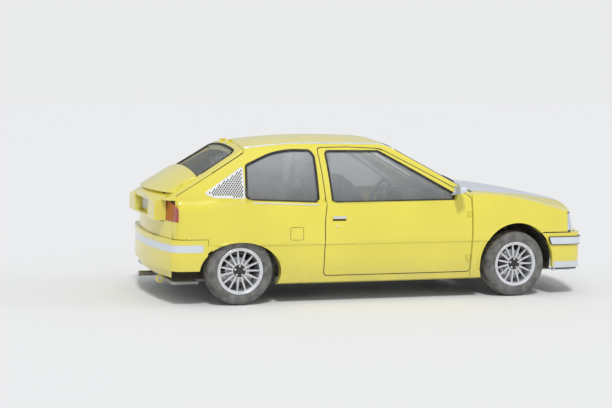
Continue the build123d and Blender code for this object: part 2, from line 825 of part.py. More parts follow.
front_bumper = bumper_ring(x_nose - 12, bumper_low_z, bumper_top_z, bumper_wall)
for cutter in front_arch_cut(300, front_arch_radius):
    front_bumper = front_bumper - cutter
front_bumper = front_bumper & block(1500, 2100, -1000, 1000, 100, 700)
front_bumper = front_bumper - bumper_ring(x_nose - 12, band_low_z, band_high_z, 8)
intake_half = 300.0
intake_low_z = 308.0
intake_high_z = 418.0
front_bumper = front_bumper - block(1700, 2100, -intake_half, intake_half, intake_low_z, intake_high_z)
pocket_depth = 18.0
for low, high in ((380, 610), (-610, -380)):
    pocket = block(1700, 2100, low, high, intake_low_z, intake_high_z)
    pocket = pocket - extrude(Pos(0, 0, 200) * bumper_outline(x_nose - 12, pocket_depth), amount=400)
    front_bumper = front_bumper - pocket
save("front_bumper", biggest(front_bumper))
band = bumper_ring(x_nose - 12, band_low_z + seat_gap, band_high_z - seat_gap, 8 - seat_gap, 12)
band = band & block(1566, 2100, -1000, 1000, 100, 700)
for cutter in front_arch_cut(300, front_arch_radius + 8):
    band = band - cutter
band_front = biggest(band)
lip = bumper_ring(x_nose - 30, lip_low_z, bumper_low_z - seat_gap, bumper_wall)
for cutter in front_arch_cut(300, front_arch_radius + 4):
    lip = lip - cutter
lip = lip & block(1560, 2100, -1000, 1000, 100, 700)
save("front_lip", biggest(lip))
rear_outer = extrude(Pos(0, 0, 300) * plan_outline(1900, x_tail, 0, plan_half_width + 4, 24), amount=bumper_top_z - 4 - 300)
rear_inner = extrude(
    Pos(0, 0, 300) * plan_outline(1900 - bumper_wall, x_tail + bumper_wall, 0, plan_half_width + 4 - bumper_wall, 24),
    amount=bumper_top_z - 4 - 300,
)
rear_bumper = (rear_outer - rear_inner) & block(-2100, rear_bumper_front_x - shut_gap, -1000, 1000, 200, 700)
for cutter in rear_arch_cut(300):
    rear_bumper = rear_bumper - cutter


def rear_ring(z0, z1, wall, proud=0.0):
    """A band round the rear bumper between two heights."""
    outer = plan_outline(1900, x_tail - proud, 0, plan_half_width + 4 + proud, 24)
    inner = plan_outline(1900, x_tail + wall, 0, plan_half_width + 4 - wall, 24)
    ring = extrude(Pos(0, 0, z0) * outer, amount=z1 - z0) - extrude(Pos(0, 0, z0) * inner, amount=z1 - z0)
    return ring & block(-2100, rear_bumper_front_x - 44, -1000, 1000, z0, z1)


rear_bumper = rear_bumper - rear_ring(band_low_z - 8, band_high_z - 8, 8)
save("rear_bumper", biggest(rear_bumper))
band_rear = rear_ring(band_low_z - 8 + seat_gap, band_high_z - 8 - seat_gap, 8 - seat_gap, 0)
band_rear = band_rear & block(-2100, rear_bumper_front_x - 44 - seat_gap, -1000, 1000, 0, 1000)
save("bumper_band", [band_front, biggest(band_rear)])

# Rear panel under the hatch, stepped in behind the bumper
tail_step = block(-2100, -1000, -1000, 1000, 0, bumper_top_z)
behind_bumper = Pos(0, 0, 100) * extrude(
    plan_outline(1900, x_tail + bumper_wall + seat_gap, 0, plan_half_width + 4 - bumper_wall, 24), amount=bumper_top_z - 100
)
rear_panel = lower_moved() & block(
    -2100, rear_panel_x, -rear_panel_half + seat_gap, rear_panel_half - seat_gap, rear_panel_low_z, hatch_foot_edge_z - shut_gap
)
rear_panel = rear_panel - (tail_step - behind_bumper)
rear_panel = biggest(rear_panel) + tow_eye(tow_rear_x, -tow_y, -1930, -1896, 300)
save("rear_panel", rear_panel)

# Floor with tunnel
tunnel_half = 90.0
tunnel_top = 300.0
floor = block(rear_panel_x + seat_gap, bulkhead_x, -cavity_half_width, cavity_half_width, floor_z, floor_z + floor_thick)
tunnel = block(-900, bulkhead_x, -tunnel_half, tunnel_half, floor_z, tunnel_top)
floor = floor + tunnel - block(-920, bulkhead_x + 10, -tunnel_half + 12, tunnel_half - 12, floor_z - 10, tunnel_top - 12)
for cutter in rear_arch_cut(rear_house_inner_y) + rear_house_cut():
    floor = floor - cutter
axle_bay = block(x_rear_axle - 150, x_rear_axle + 330, -760, 760, 100, floor_z + floor_thick + 20)
floor = floor - axle_bay
raised = block(x_rear_axle - 170, x_rear_axle + 350, -cavity_half_width, cavity_half_width, floor_z, 420)
raised = raised - block(x_rear_axle - 150, x_rear_axle + 330, -760, 760, 100, 400)
for cutter in rear_arch_cut(rear_house_inner_y) + rear_house_cut():
    raised = raised - cutter
floor = floor + raised
save("floor_pan", [floor])

# Rear wheel houses
house = cross_cylinder(x_rear_axle, tyre_radius, rear_house_radius + wheelhouse_wall, rear_house_inner_y - wheelhouse_wall, cavity_half_width)
house = house - cross_cylinder(x_rear_axle, tyre_radius, rear_house_radius, rear_house_inner_y, 900)
house = house & block(-2100, 0, 0, 1000, 420.3, 700)
save("rear_wheel_houses", both_sides(biggest(house)))

# Bulkhead and cowl
bulkhead_half = 689.7
bulkhead = block(bulkhead_x, bulkhead_x + bulkhead_thick, -bulkhead_half, bulkhead_half, floor_z, cavity_top_z - 2)
save("bulkhead", bulkhead)
cowl_half = 680.0
cowl_front_x = bonnet_rear_x - 16
cowl = block(bulkhead_x + bulkhead_thick + seat_gap, cowl_front_x, -cowl_half, cowl_half, 820, 880)
scuttle_back_x = bulkhead_x + bulkhead_thick + seat_gap
scuttle = block(scuttle_back_x, 746, -540, 540, 870, 1100) & cabin_roll(glass_recess + glass_thick + 2)
scuttle = scuttle + (block(scuttle_back_x, 746, -600, 600, 870, 1100) & cabin_roll(roof_depth + 1))
cowl = cowl + scuttle
for side in (1, -1):
    y = side * bonnet_hinge_y
    for way in (1, -1):
        near = y + way * (bonnet_knuckle_half + 1)
        far = near + way * 8
        low, high = min(near, far), max(near, far)
        cowl = cowl + block(cowl_front_x - 12, bonnet_hinge_x + 9, low, high, 840, 866)
        cowl = cowl + block(bonnet_hinge_x - 8, bonnet_hinge_x + 9, low, high, 850, bonnet_hinge_z)
        cowl = cowl + cross_cylinder(bonnet_hinge_x, bonnet_hinge_z, 8, low, high)
    cowl = cowl + cross_cylinder(bonnet_hinge_x, bonnet_hinge_z, bonnet_pin_radius, y - 19, y + 19)
save("cowl", cowl)

# Front inner wings
inner_top = front_arch_z + front_house_radius + wheelhouse_wall
liner = cross_cylinder(x_front_axle, front_arch_z, front_house_radius + wheelhouse_wall, front_house_inner_y - wheelhouse_wall, liner_outer_y)
liner = liner - cross_cylinder(x_front_axle, front_arch_z, front_house_radius, front_house_inner_y, 900)
liner = liner & block(0, 2100, 0, 1000, 236, 900)
tower_x, tower_y, tower_radius = x_front_axle, 548.0, 95.0
tower_top = 800.0
tower = Pos(tower_x, tower_y, (560 + tower_top) / 2) * Cylinder(tower_radius, tower_top - 560)
tower_hollow = Pos(tower_x, tower_y, (500 + tower_top - 12) / 2) * Cylinder(tower_radius - 12, tower_top - 12 - 500)
liner = liner + tower - tower_hollow - cross_cylinder(x_front_axle, front_arch_z, front_house_radius, front_house_inner_y, 900)
liner = biggest(liner & block(0, 2100, 0, liner_outer_y, 236, 900))
king_low = Vector(x_front_axle, 650, 195)
king_high = Vector(x_front_axle, 545, 800)
king_line = (king_high - king_low).normalized()
top_bore = tube_between(tuple(king_high - king_line * 60), tuple(king_high + king_line * 30), 12 + running_gap)
liner = liner - top_bore
rail_inner_y = 368.0
rail_low_z = 400.0
rail_high_z = 460.0
behind_front_panel = Pos(-head_lamp_depth - front_panel_depth - seat_gap, 0, 0) * nose_plan
rail = block(
    bulkhead_x + bulkhead_thick + seat_gap,
    1900,
    rail_inner_y,
    front_house_inner_y - wheelhouse_wall + 1,
    rail_low_z,
    rail_high_z,
)
liner = liner + (rail & behind_front_panel)
save("inner_wings", both_sides(liner))

# Wheels
def tyre(x, y):
    """A tyre with rounded shoulders on its rim seat."""
    w = tyre_width / 2
    s = rim_width / 2 - 6 - seat_gap
    points = [
        (-s, rim_seat_radius + seat_gap),
        (-s - 2, rim_flange_radius + seat_gap),
        (-w + 6, rim_flange_radius + 2),
        (-w, rim_flange_radius + 26),
        (-w + 4, tyre_radius - 26),
        (-w + 24, tyre_radius - 4),
        (-w + 44, tyre_radius),
        (w - 44, tyre_radius),
        (w - 24, tyre_radius - 4),
        (w - 4, tyre_radius - 26),
        (w, rim_flange_radius + 26),
        (w - 6, rim_flange_radius + 2),
        (s + 2, rim_flange_radius + seat_gap),
        (s, rim_seat_radius + seat_gap),
    ]
    face = make_face(Polyline(*[(0, y + a, r) for a, r in points], close=True))
    return Pos(x, 0, tyre_radius) * revolve(face, axis=Axis.Y, revolution_arc=360)


disc_radius = 118.0
disc_inner_face = 24.0
disc_thick = 10.0
drum_radius = 106.0
drum_inner_face = 46.0


def rim(x, y, side):
    """A barrel with flanges, a dished hub, thin spokes and its disc or drum; side is +1 on the left."""
    w = rim_width / 2
    points = [
        (-w - 5, rim_flange_radius),
        (-w + 4, rim_flange_radius),
        (-w + 6, rim_seat_radius),
        (w - 6, rim_seat_radius),
        (w - 4, rim_flange_radius),
        (w + 5, rim_flange_radius),
        (w + 5, rim_flange_radius - 9),
        (w - 2, rim_seat_radius - rim_wall),
        (-w + 2, rim_seat_radius - rim_wall),
        (-w - 5, rim_flange_radius - 9),
    ]
    face = make_face(Polyline(*[(0, a, r) for a, r in points], close=True))
    wheel = revolve(face, axis=Axis.Y, revolution_arc=360)
    face_y = spoke_face
    hub = cross_cylinder(0, 0, hub_radius, face_y - hub_depth, face_y - 6)
    wheel = wheel + hub
    if x > 0:
        wheel = wheel + cross_cylinder(0, 0, disc_radius, -disc_inner_face, -disc_inner_face + disc_thick)
        wheel = wheel + cross_cylinder(0, 0, hub_radius, -disc_inner_face, face_y - hub_depth + 2)
    else:
        wheel = wheel + cross_cylinder(0, 0, drum_radius, -drum_inner_face, -drum_inner_face + 34)
        wheel = wheel + cross_cylinder(0, 0, hub_radius, -drum_inner_face, face_y - hub_depth + 2)
    for index in range(spoke_count):
        root = Plane(origin=(hub_radius - 8, face_y - 8 - spoke_depth * 0.75, 0), x_dir=(0, 1, 0), z_dir=(1, 0, 0))
        tip = Plane(origin=(rim_seat_radius - 4, face_y - spoke_depth / 2, 0), x_dir=(0, 1, 0), z_dir=(1, 0, 0))
        spoke = loft([root * Rectangle(spoke_depth * 1.5, spoke_width * 1.3), tip * Rectangle(spoke_depth, spoke_width)])
        wheel = wheel + spoke.rotate(Axis.Y, index * 360 / spoke_count)
    wheel = wheel - cross_cylinder(0, 0, stub_radius + running_gap, -100, face_y - 14)
    if side < 0:
        wheel = mirror(wheel, about=Plane.XZ)
    return Pos(x, y, tyre_radius) * wheel


corners = [
    ("front_left", x_front_axle, track_front / 2, 1),
    ("front_right", x_front_axle, -track_front / 2, -1),
    ("rear_left", x_rear_axle, track_rear / 2, 1),
    ("rear_right", x_rear_axle, -track_rear / 2, -1),
]
for name, x, y, side in corners:
    save(f"tyre_{name}", tyre(x, y))
    save(f"rim_{name}", biggest(rim(x, y, side)))

# Front uprights with their struts, turning about the kingpin line
upright_y = track_front / 2 - 44.0
stub = cross_cylinder(x_front_axle, tyre_radius, stub_radius, upright_y - 60, track_front / 2 + spoke_face - 14 - 2)
knuckle = block(x_front_axle - 30, x_front_axle + 30, upright_y - 46, upright_y - 12, king_low.Z + 22, tyre_radius + 110)
strut_radius = 24.0
strut_y_low = 568.0
strut_low = Vector(x_front_axle, strut_y_low, tyre_radius + 30)
knuckle = knuckle + block(x_front_axle - 24, x_front_axle + 24, strut_y_low, upright_y - 40, tyre_radius + 40, tyre_radius + 100)
strut_line = (king_high - strut_low).normalized()
strut = tube_between(tuple(strut_low), tuple(king_high - strut_line * 150), strut_radius)
rod = tube_between(tuple(strut_low), tuple(king_high - king_line * 50), 12) + tube_between(
    tuple(king_high - king_line * 80), tuple(king_high), 12
)
spring_seat = tube_between(tuple(king_high - strut_line * 190), tuple(king_high - strut_line * 178), 60)
spring = tube_between(tuple(king_high - strut_line * 180), tuple(king_high - strut_line * 40), 48)
ball_pin = tube_between(tuple(king_low - king_line * 20), tuple(king_low + king_line * 60), 9)
caliper_x = x_front_axle - 98.0
disc_y = track_front / 2 - disc_inner_face
caliper = block(caliper_x - 27, caliper_x + 27, upright_y - 26, disc_y + 40, tyre_radius - 45, tyre_radius + 45)
caliper = caliper - cross_cylinder(
    x_front_axle, tyre_radius, disc_radius + 6, disc_y - 3, disc_y + disc_thick + 3
)
bracket = block(caliper_x, x_front_axle, upright_y - 36, upright_y - 14, tyre_radius - 30, tyre_radius + 30)
upright = stub + knuckle + caliper + bracket + strut + rod + spring_seat + spring + ball_pin
uprights = both_sides(biggest(upright))
save("upright_left", uprights[0])
save("upright_right", uprights[1])

# Front crossmember and lower arms
subframe = block(x_front_axle - 120, x_front_axle - 20, -360, 360, 173 + seat_gap, 216)
for side in (1, -1):
    eye = Pos(king_low.X, side * king_low.Y, king_low.Z) * Cylinder(20, 22)
    arm = plan_prism(
        [
            (x_front_axle - 110, side * 330),
            (x_front_axle + 60, side * 330),
            (x_front_axle + 14, side * 640),
            (x_front_axle - 14, side * 640),
        ],
        king_low.Z - 11,
        king_low.Z + 11,
    )
    line_low = (king_low.X, side * king_low.Y, king_low.Z)
    direction = Vector(0, side * king_line.Y, king_line.Z)
    hole = tube_between(
        tuple(Vector(*line_low) - direction * 60), tuple(Vector(*line_low) + direction * 60), 9 + running_gap
    )
    subframe = subframe + eye + arm - hole
save("front_subframe", subframe)

# Rear axle: beam, trailing arms, stubs, springs and dampers
beam = block(x_rear_axle + 180, x_rear_axle + 240, -560, 560, 215, 275)
rear_axle = beam
for side in (1, -1):
    arm = block(x_rear_axle - 40, x_rear_axle + 330 - seat_gap, side * 560 - 26, side * 560 + 26, 235, 300)
    stub = cross_cylinder(
        x_rear_axle, tyre_radius, stub_radius, min(side * 534, side * (track_rear / 2 + spoke_face - 16)),
        max(side * 534, side * (track_rear / 2 + spoke_face - 16)),
    )
    rear_axle = rear_axle + arm + stub
save("rear_axle", rear_axle)

# Engine, sump guard, fuel tank and exhaust
save("engine_block", block(1080, 1480, -330, 330, 216 + seat_gap, 690))
save("sump_guard", block(1000, 1800, -330, 330, 165, 173))
save("fuel_tank", block(-900, -560, -500, -150, 130, floor_z - seat_gap))
exhaust = tube_between((600, 200, 152), (-1980, 200, 152), 22)
for x in (400, -700, -1600):
    exhaust = exhaust + block(x - 10, x + 10, 188, 212, 160, floor_z - seat_gap)
silencer = Pos(-1640, 200, 152) * Rot(0, 90, 0) * Cylinder(29, 300)
exhaust = exhaust + silencer
save("exhaust", exhaust)

# Cabin fittings
dash_back_x = bulkhead_x - seat_gap
dash_points = [(dash_back_x, 640), (540, 620), (488, 660), (478, 770), (520, 812), (590, 838), (dash_back_x, 846)]
dash = side_prism(dash_points, -700, 700)
binnacle_points = [(dash_back_x, 780), (500, 780), (486, 850), (540, 872), (dash_back_x, 850)]
dash = dash + side_prism(binnacle_points, 200, 520)
for leg in both_sides(block(470, 600, 570, 720, 600, 860)):
    dash = dash - leg
save("dashboard", dash)
wheel_tilt = 65.0
wheel_place = Pos(330, 360, 800) * Rot(0, -wheel_tilt, 0)
hand_ring = RegularPolygon(184, 32) - RegularPolygon(156, 32)
steering = wheel_place * (
    Pos(0, 0, -12) * extrude(hand_ring, amount=24)
    + Pos(0, 0, -12) * Cylinder(34, 24)
    + Box(330, 30, 8)
    + Pos(0, -84, 0) * Box(30, 160, 8)
)
column = wheel_place * Pos(0, 0, -110) * Cylinder(18, 220)
steering = steering + column - dash
save("steering_wheel", steering)
seat_y = 350.0
seat_half = 235.0
pad_half = 190.0
pad_points = [
    (240, 300),
    (250, 372),
    (225, 392),
    (-120, 352),
    (-170, 370),
    (-215, 480),
    (-322, 1010),
    (-340, 1062),
    (-372, 1062),
    (-384, 1010),
    (-290, 420),
    (-240, 290),
]
bolster_points = [
    (228, 296),
    (244, 400),
    (200, 440),
    (-60, 430),
    (-120, 520),
    (-170, 700),
    (-190, 880),
    (-262, 960),
    (-330, 1040),
    (-384, 1010),
    (-290, 420),
    (-240, 290),
]
seat_rail_half = 14.0
seat = side_prism(pad_points, seat_y - pad_half, seat_y + pad_half)
for side in (1, -1):
    near, far = sorted((seat_y + side * (pad_half - 1), seat_y + side * seat_half))
    seat = seat + side_prism(bolster_points, near, far, 12)
    rail_y = seat_y + side * 150
    seat = seat + block(-220, 220, rail_y - seat_rail_half, rail_y + seat_rail_half, floor_z + floor_thick + seat_gap, 340)
save("bucket_seats", both_sides(biggest(seat)))
cage_tube = 19.0


def tube_run(points):
    """Round tube along a line of points, with a ball at each bend."""
    run = tube_between(points[0], points[1], cage_tube)
    for a, b in zip(points[1:], points[2:]):
        run = run + Pos(*a) * Sphere(cage_tube + 1) + tube_between(a, b, cage_tube)
    return run


cage_foot_z = floor_z + floor_thick + seat_gap
cage = tube_run([(-470, 600, cage_foot_z), (-470, 610, 850), (-470, 478, 1270), (-470, -478, 1270), (-470, -610, 850), (-470, -600, cage_foot_z)])
for side in (1, -1):
    cage = cage + tube_run([(-470, side * 478, 1270), (-20, side * 470, 1282), (560, side * 600, 905), (560, side * 610, cage_foot_z)])
    cage = cage + tube_run([(-470, side * 470, 1262), (-1240, side * 500, 680), (-1240, side * 500, 420.6)])
cage = cage + tube_between((-470, 600, 260), (-470, -478, 1262), cage_tube)
save("roll_cage", cage)

# Door mirrors
mirror_x_rear = 579.0
mirror_x_front = 654.0
mirror_y = 880.0
mirror_z = 958.0
mirror_rear_face = Plane(origin=(mirror_x_rear, mirror_y, mirror_z), x_dir=(0, 1, 0), z_dir=(1, 0, 0))
mirror_front_face = Plane(origin=(mirror_x_front, mirror_y - 8, mirror_z), x_dir=(0, 1, 0), z_dir=(1, 0, 0))
mirror_body = loft([mirror_rear_face * RectangleRounded(134, 70, 20), mirror_front_face * RectangleRounded(92, 42, 16)])
mirror_body = mirror_body - extrude(mirror_rear_face * RectangleRounded(122, 58, 16), amount=6, dir=(1, 0, 0))
mirror_foot = side_prism([(596, 936), (650, 936), (636, 962), (604, 962)], 690, 834)
mirrors = both_sides(biggest(mirror_body + mirror_foot - body_outer))
save("door_mirror_left", mirrors[0])
save("door_mirror_right", mirrors[1])
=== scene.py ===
import bmesh
import bpy
import json
import math
import numpy as np
from mathutils import Matrix, Vector
from mathutils.bvhtree import BVHTree


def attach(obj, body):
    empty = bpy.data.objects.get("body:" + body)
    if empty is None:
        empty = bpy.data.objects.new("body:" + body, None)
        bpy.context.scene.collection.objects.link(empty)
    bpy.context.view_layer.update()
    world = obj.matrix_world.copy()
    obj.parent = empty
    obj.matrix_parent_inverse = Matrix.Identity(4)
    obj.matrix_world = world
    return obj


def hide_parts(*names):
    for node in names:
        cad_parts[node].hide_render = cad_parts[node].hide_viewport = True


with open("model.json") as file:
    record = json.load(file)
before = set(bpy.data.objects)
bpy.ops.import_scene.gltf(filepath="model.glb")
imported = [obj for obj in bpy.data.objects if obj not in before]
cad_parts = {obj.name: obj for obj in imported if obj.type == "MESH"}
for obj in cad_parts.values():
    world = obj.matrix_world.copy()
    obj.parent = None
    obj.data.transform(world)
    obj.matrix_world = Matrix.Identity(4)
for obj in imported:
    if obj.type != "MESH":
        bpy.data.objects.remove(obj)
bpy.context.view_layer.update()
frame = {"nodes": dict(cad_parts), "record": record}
nodes = frame["nodes"]
body_of_node = {
    node: body
    for body, members in frame["record"]["behaviour"]["bodies"].items()
    for node in members
}
scene = bpy.context.scene
SIDES = (("left", 1), ("right", -1))
SHELL = "body_shell"

# driving dimensions in metres, the same as in the solids
TYRE_RADIUS = 0.289
FRONT_AXLE_X = 1.199
REAR_AXLE_X = -1.321
FRONT_HALF_TRACK = 0.7
REAR_HALF_TRACK = 0.703
ARCH_Z = 0.308
ARCH_RADIUS = 0.348


# materials
def principled(name):
    """A new material, its node tree and its main shader."""
    made = bpy.data.materials.new(name)
    made.use_nodes = True
    tree = made.node_tree
    return made, tree, tree.nodes["Principled BSDF"]


def put(tree, socket, value):
    """Sets a socket to a value, or links another socket to it."""
    if isinstance(value, bpy.types.NodeSocket):
        tree.links.new(value, socket)
    else:
        socket.default_value = value


def add_node(tree, kind, **inputs):
    """A new shader node, with some of its inputs set or linked."""
    node = tree.nodes.new("ShaderNode" + kind)
    for name, value in inputs.items():
        put(tree, node.inputs[name], value)
    return node


def object_place(tree, stretch=(1, 1, 1)):
    """Object coordinates, stretched along an axis when asked."""
    place = add_node(tree, "TexCoord").outputs["Object"]
    return add_node(tree, "Mapping", Scale=stretch, Vector=place).outputs["Vector"]


def object_axis(tree, axis):
    """One of the three Object coordinates."""
    return add_node(tree, "SeparateXYZ", Vector=object_place(tree)).outputs[axis]


def object_noise(tree, scale, detail, stretch=(1, 1, 1)):
    """The value of a noise on Object coordinates."""
    place = object_place(tree, stretch)
    return add_node(tree, "TexNoise", Scale=scale, Detail=detail, Vector=place).outputs[0]


def ramp(tree, source, stops):
    """The colour of a ramp over a value."""
    node = add_node(tree, "ValToRGB", Fac=source)
    elements = node.color_ramp.elements
    while len(elements) < len(stops):
        elements.new(0.5)
    for element, (at, colour) in zip(elements, stops):
        element.position = at
        element.color = (*colour, 1.0)
    return node.outputs["Color"]


def mix_colour(tree, amount, base, over):
    """Mixes from the colour of a socket to a fixed colour by a value."""
    node = add_node(tree, "Mix")
    node.data_type = "RGBA"
    first, second = [s for s in node.inputs if s.type == "RGBA"]
    put(tree, node.inputs[0], amount)
    put(tree, first, base)
    put(tree, second, (*over, 1.0))
    return [s for s in node.outputs if s.type == "RGBA"][0]


def maths(tree, operation, a, b=0.0, clamp=False):
    """One Math node; each input is a socket or a number."""
    node = add_node(tree, "Math")
    node.operation = operation
    node.use_clamp = clamp
    for socket, value in zip(node.inputs, (a, b)):
        put(tree, socket, value)
    return node.outputs[0]


def scaled(colour, factor):
    """A colour, lighter or darker."""
    return tuple(c * factor for c in colour)


def feed(tree, shader, base, roughness, height=None, strength=0.0, distance=0.0):
    """Gives a shader its base colour, its roughness as a socket or a number, and bump from a height."""
    put(tree, shader.inputs["Base Color"], base)
    put(tree, shader.inputs["Roughness"], roughness)
    if height is not None:
        node = add_node(tree, "Bump", Strength=strength, Distance=distance, Height=height)
        put(tree, shader.inputs["Normal"], node.outputs["Normal"])


DUST = (0.36, 0.29, 0.21)
DUST_TOP_Z = 0.42
DUST_FADE = 0.3
DUST_GAIN = 1.12


def road_dust(tree):
    """How much dust lies on the paint: more low down, broken up by noise."""
    rise = maths(tree, "SUBTRACT", DUST_TOP_Z, object_axis(tree, "Z"))
    level = maths(tree, "DIVIDE", rise, DUST_FADE, clamp=True)
    clouds = maths(tree, "MULTIPLY", object_noise(tree, 3.4, 6.0), object_noise(tree, 42.0, 4.0))
    return maths(tree, "MULTIPLY", maths(tree, "MULTIPLY", clouds, DUST_GAIN), level, clamp=True)


def car_paint(name, colour, stripe=None, half=0.0, taper=(0.0, 0.0), coat=0.7):
    """Solid paint under clear coat, faded a little, with dust low down; when asked, a centre stripe whose
    half width at x is the smaller of half and taper[0] + taper[1] x."""
    made, tree, shader = principled(name)
    base = ramp(tree, object_noise(tree, 2.1, 3.0), [(0.3, scaled(colour, 0.93)), (0.7, colour)])
    if stripe:
        across = maths(tree, "ABSOLUTE", object_axis(tree, "Y"))
        slope = maths(tree, "MULTIPLY", object_axis(tree, "X"), taper[1])
        reach = maths(tree, "MINIMUM", maths(tree, "ADD", slope, taper[0]), half)
        base = mix_colour(tree, maths(tree, "LESS_THAN", across, reach), base, stripe)
    dust = road_dust(tree)
    rough = maths(tree, "ADD", maths(tree, "MULTIPLY", dust, 0.5), 0.28, clamp=True)
    peel = object_noise(tree, 260.0, 2.0)
    feed(tree, shader, mix_colour(tree, dust, base, DUST), rough, peel, 0.04, 0.0006)
    shader.inputs["Coat Weight"].default_value = coat
    shader.inputs["Coat Roughness"].default_value = 0.12
    return made


def moulded(name, colour, roughness, grain_scale=900.0, grain=0.25, dust=0.25):
    """Moulded plastic or rubber with a fine grain, a little dusty."""
    made, tree, shader = principled(name)
    pale = tuple(c + (d - c) * 0.5 * dust for c, d in zip(colour, DUST))
    base = ramp(tree, object_noise(tree, 9.0, 5.0), [(0.42, colour), (0.95, pale)])
    feed(tree, shader, base, roughness, object_noise(tree, grain_scale, 2.0), grain, 0.0005)
    return made


def bare_metal(name, colour, roughness, metallic=1.0):
    """Metal with uneven roughness and slight stains."""
    made, tree, shader = principled(name)
    base = ramp(tree, object_noise(tree, 14.0, 5.0), [(0.3, scaled(colour, 0.8)), (0.7, colour)])
    shader.inputs["Metallic"].default_value = metallic
    brushed = object_noise(tree, 60.0, 3.0)
    rough = maths(tree, "ADD", maths(tree, "MULTIPLY", brushed, 0.25), roughness - 0.12, clamp=True)
    feed(tree, shader, base, rough, brushed, 0.08, 0.0005)
    return made


def tyre_rubber(name):
    """Dusty rubber: grey-brown film over black, darker where it is worn clean."""
    made, tree, shader = principled(name)
    stops = [(0.25, (0.07, 0.069, 0.067)), (0.55, (0.16, 0.156, 0.149)), (0.85, (0.26, 0.25, 0.235))]
    base = ramp(tree, object_noise(tree, 16.0, 6.0), stops)
    feed(tree, shader, base, 0.82, object_noise(tree, 420.0, 3.0), 0.3, 0.0008)
    return made


GLASS_FOOT_Z = 0.86
GLASS_HEAD_Z = 1.3


def window_glass(name, tint, alpha, haze_and_reflection=0.1):
    """Clear or smoked glass that lets the cabin show, under a patchy film of dust, with a painted sky
    reflection that makes it paler towards the head.
    """
    made, tree, shader = principled(name)
    # painted reflection: the glass grows paler with height from its foot to its head
    rise = maths(tree, "SUBTRACT", object_axis(tree, "Z"), GLASS_FOOT_Z)
    rise = maths(tree, "DIVIDE", rise, GLASS_HEAD_Z - GLASS_FOOT_Z, clamp=True)
    film = maths(tree, "MULTIPLY", object_noise(tree, 5.0, 6.0), 0.5)
    level = maths(tree, "ADD", maths(tree, "MULTIPLY", rise, 0.6), film)
    feed(tree, shader, ramp(tree, level, [(0.2, tint), (0.95, tuple(t + haze_and_reflection for t in tint))]), 0.06)
    shader.inputs["Alpha"].default_value = alpha
    shader.inputs["Specular IOR Level"].default_value = 0.9
    return made


def lamp_glass(name, colour, rib_scale):
    """Lamp lens with pressed ribs."""
    made, tree, shader = principled(name)
    wave = add_node(tree, "TexWave", Scale=rib_scale, Vector=object_place(tree, (0, 1, 0)))
    wave.bands_direction = "DIAGONAL"
    ribs = wave.outputs["Fac"]
    base = ramp(tree, ribs, [(0.2, scaled(colour, 0.72)), (0.8, colour)])
    feed(tree, shader, base, 0.12, ribs, 0.35, 0.003)
    shader.inputs["Coat Weight"].default_value = 1.0
    return made


def woven(name, colour, thread=700.0):
    """Woven seat cloth with sheen."""
    made, tree, shader = principled(name)
    warp = object_noise(tree, thread, 2.0, (1, 0.2, 1))
    weave = maths(tree, "MULTIPLY", warp, object_noise(tree, thread, 2.0, (0.2, 1, 0.2)))
    base = ramp(tree, weave, [(0.1, scaled(colour, 0.6)), (0.45, scaled(colour, 1.6))])
    feed(tree, shader, base, 0.9, weave, 0.4, 0.001)
    shader.inputs["Sheen Weight"].default_value = 0.4
    return made


YELLOW = (0.8, 0.7, 0.08)
WHITE = (0.66, 0.71, 0.76)
# painted shade: the bonnet's yellow and white are the body's yellow and white made darker, as they look on
# its grazing top and sloping sides
SHADED_BONNET_YELLOW = (0.66, 0.575, 0.06)
SHADED_BONNET_WHITE = (0.55, 0.585, 0.64)
yellow_paint = car_paint("yellow_paint", YELLOW)
shaded_bonnet_paint = car_paint("shaded_bonnet_paint", SHADED_BONNET_YELLOW, SHADED_BONNET_WHITE, 0.66, (1.1685, -0.47), 0.3)
white_paint = car_paint("white_paint", WHITE)
black_trim = moulded("black_trim", (0.018, 0.018, 0.018), 0.55)
# dark rubber of the window seals, also the painted shade laid over the body's gaps
seal_and_gap_shade = moulded("seal_and_gap_shade", (0.012, 0.012, 0.012), 0.7, dust=0.4)
cabin_plastic = moulded("cabin_plastic", (0.03, 0.03, 0.032), 0.7)
under_paint = moulded("under_paint", (0.05, 0.048, 0.045), 0.8, 300.0, 0.5, 0.9)
cabin_shell = moulded("cabin_shell", (0.3, 0.3, 0.29), 0.6, 200.0, 0.2, 0.3)
tyre_surface = tyre_rubber("tyre_surface")
rim_silver = bare_metal("rim_silver", (0.76, 0.77, 0.79), 0.34, 0.55)
hub_black = moulded("hub_black", (0.02, 0.02, 0.02), 0.4)
cast_steel = bare_metal("cast_steel", (0.12, 0.115, 0.11), 0.6, 0.7)
pipe_steel = bare_metal("pipe_steel", (0.4, 0.37, 0.33), 0.42)
bright_trim = bare_metal("bright_trim", (0.84, 0.86, 0.9), 0.3, 0.45)
cage_paint = moulded("cage_paint", (0.6, 0.6, 0.58), 0.35, 300.0, 0.1, 0.3)
seat_cloth = woven("seat_cloth", (0.045, 0.045, 0.05))
seat_shell = moulded("seat_shell", (0.035, 0.035, 0.038), 0.45, 500.0, 0.3)
blank_plate = moulded("blank_plate", (0.62, 0.63, 0.62), 0.4, 400.0, 0.1)
belt_webbing = woven("belt_webbing", (0.42, 0.03, 0.03), 500.0)
quarter_pane = window_glass("quarter_pane", (0.2, 0.21, 0.22), 0.66, 0.3)
side_glass = window_glass("side_glass", (0.24, 0.26, 0.27), 0.42, 0.3)
screen_glass = window_glass("screen_glass", (0.17, 0.2, 0.21), 0.24)
mirror_silver = bare_metal("mirror_silver", (0.9, 0.92, 0.95), 0.3, 0.35)
# painted shade inside the vent holes
punched_hole_shade = moulded("punched_hole_shade", (0.035, 0.035, 0.04), 0.6)
lamp_edge = lamp_glass("lamp_edge", (0.62, 0.66, 0.78), 60.0)
head_lens = lamp_glass("head_lens", (0.72, 0.75, 0.78), 40.0)
tail_lens = lamp_glass("tail_lens", (0.42, 0.012, 0.01), 30.0)

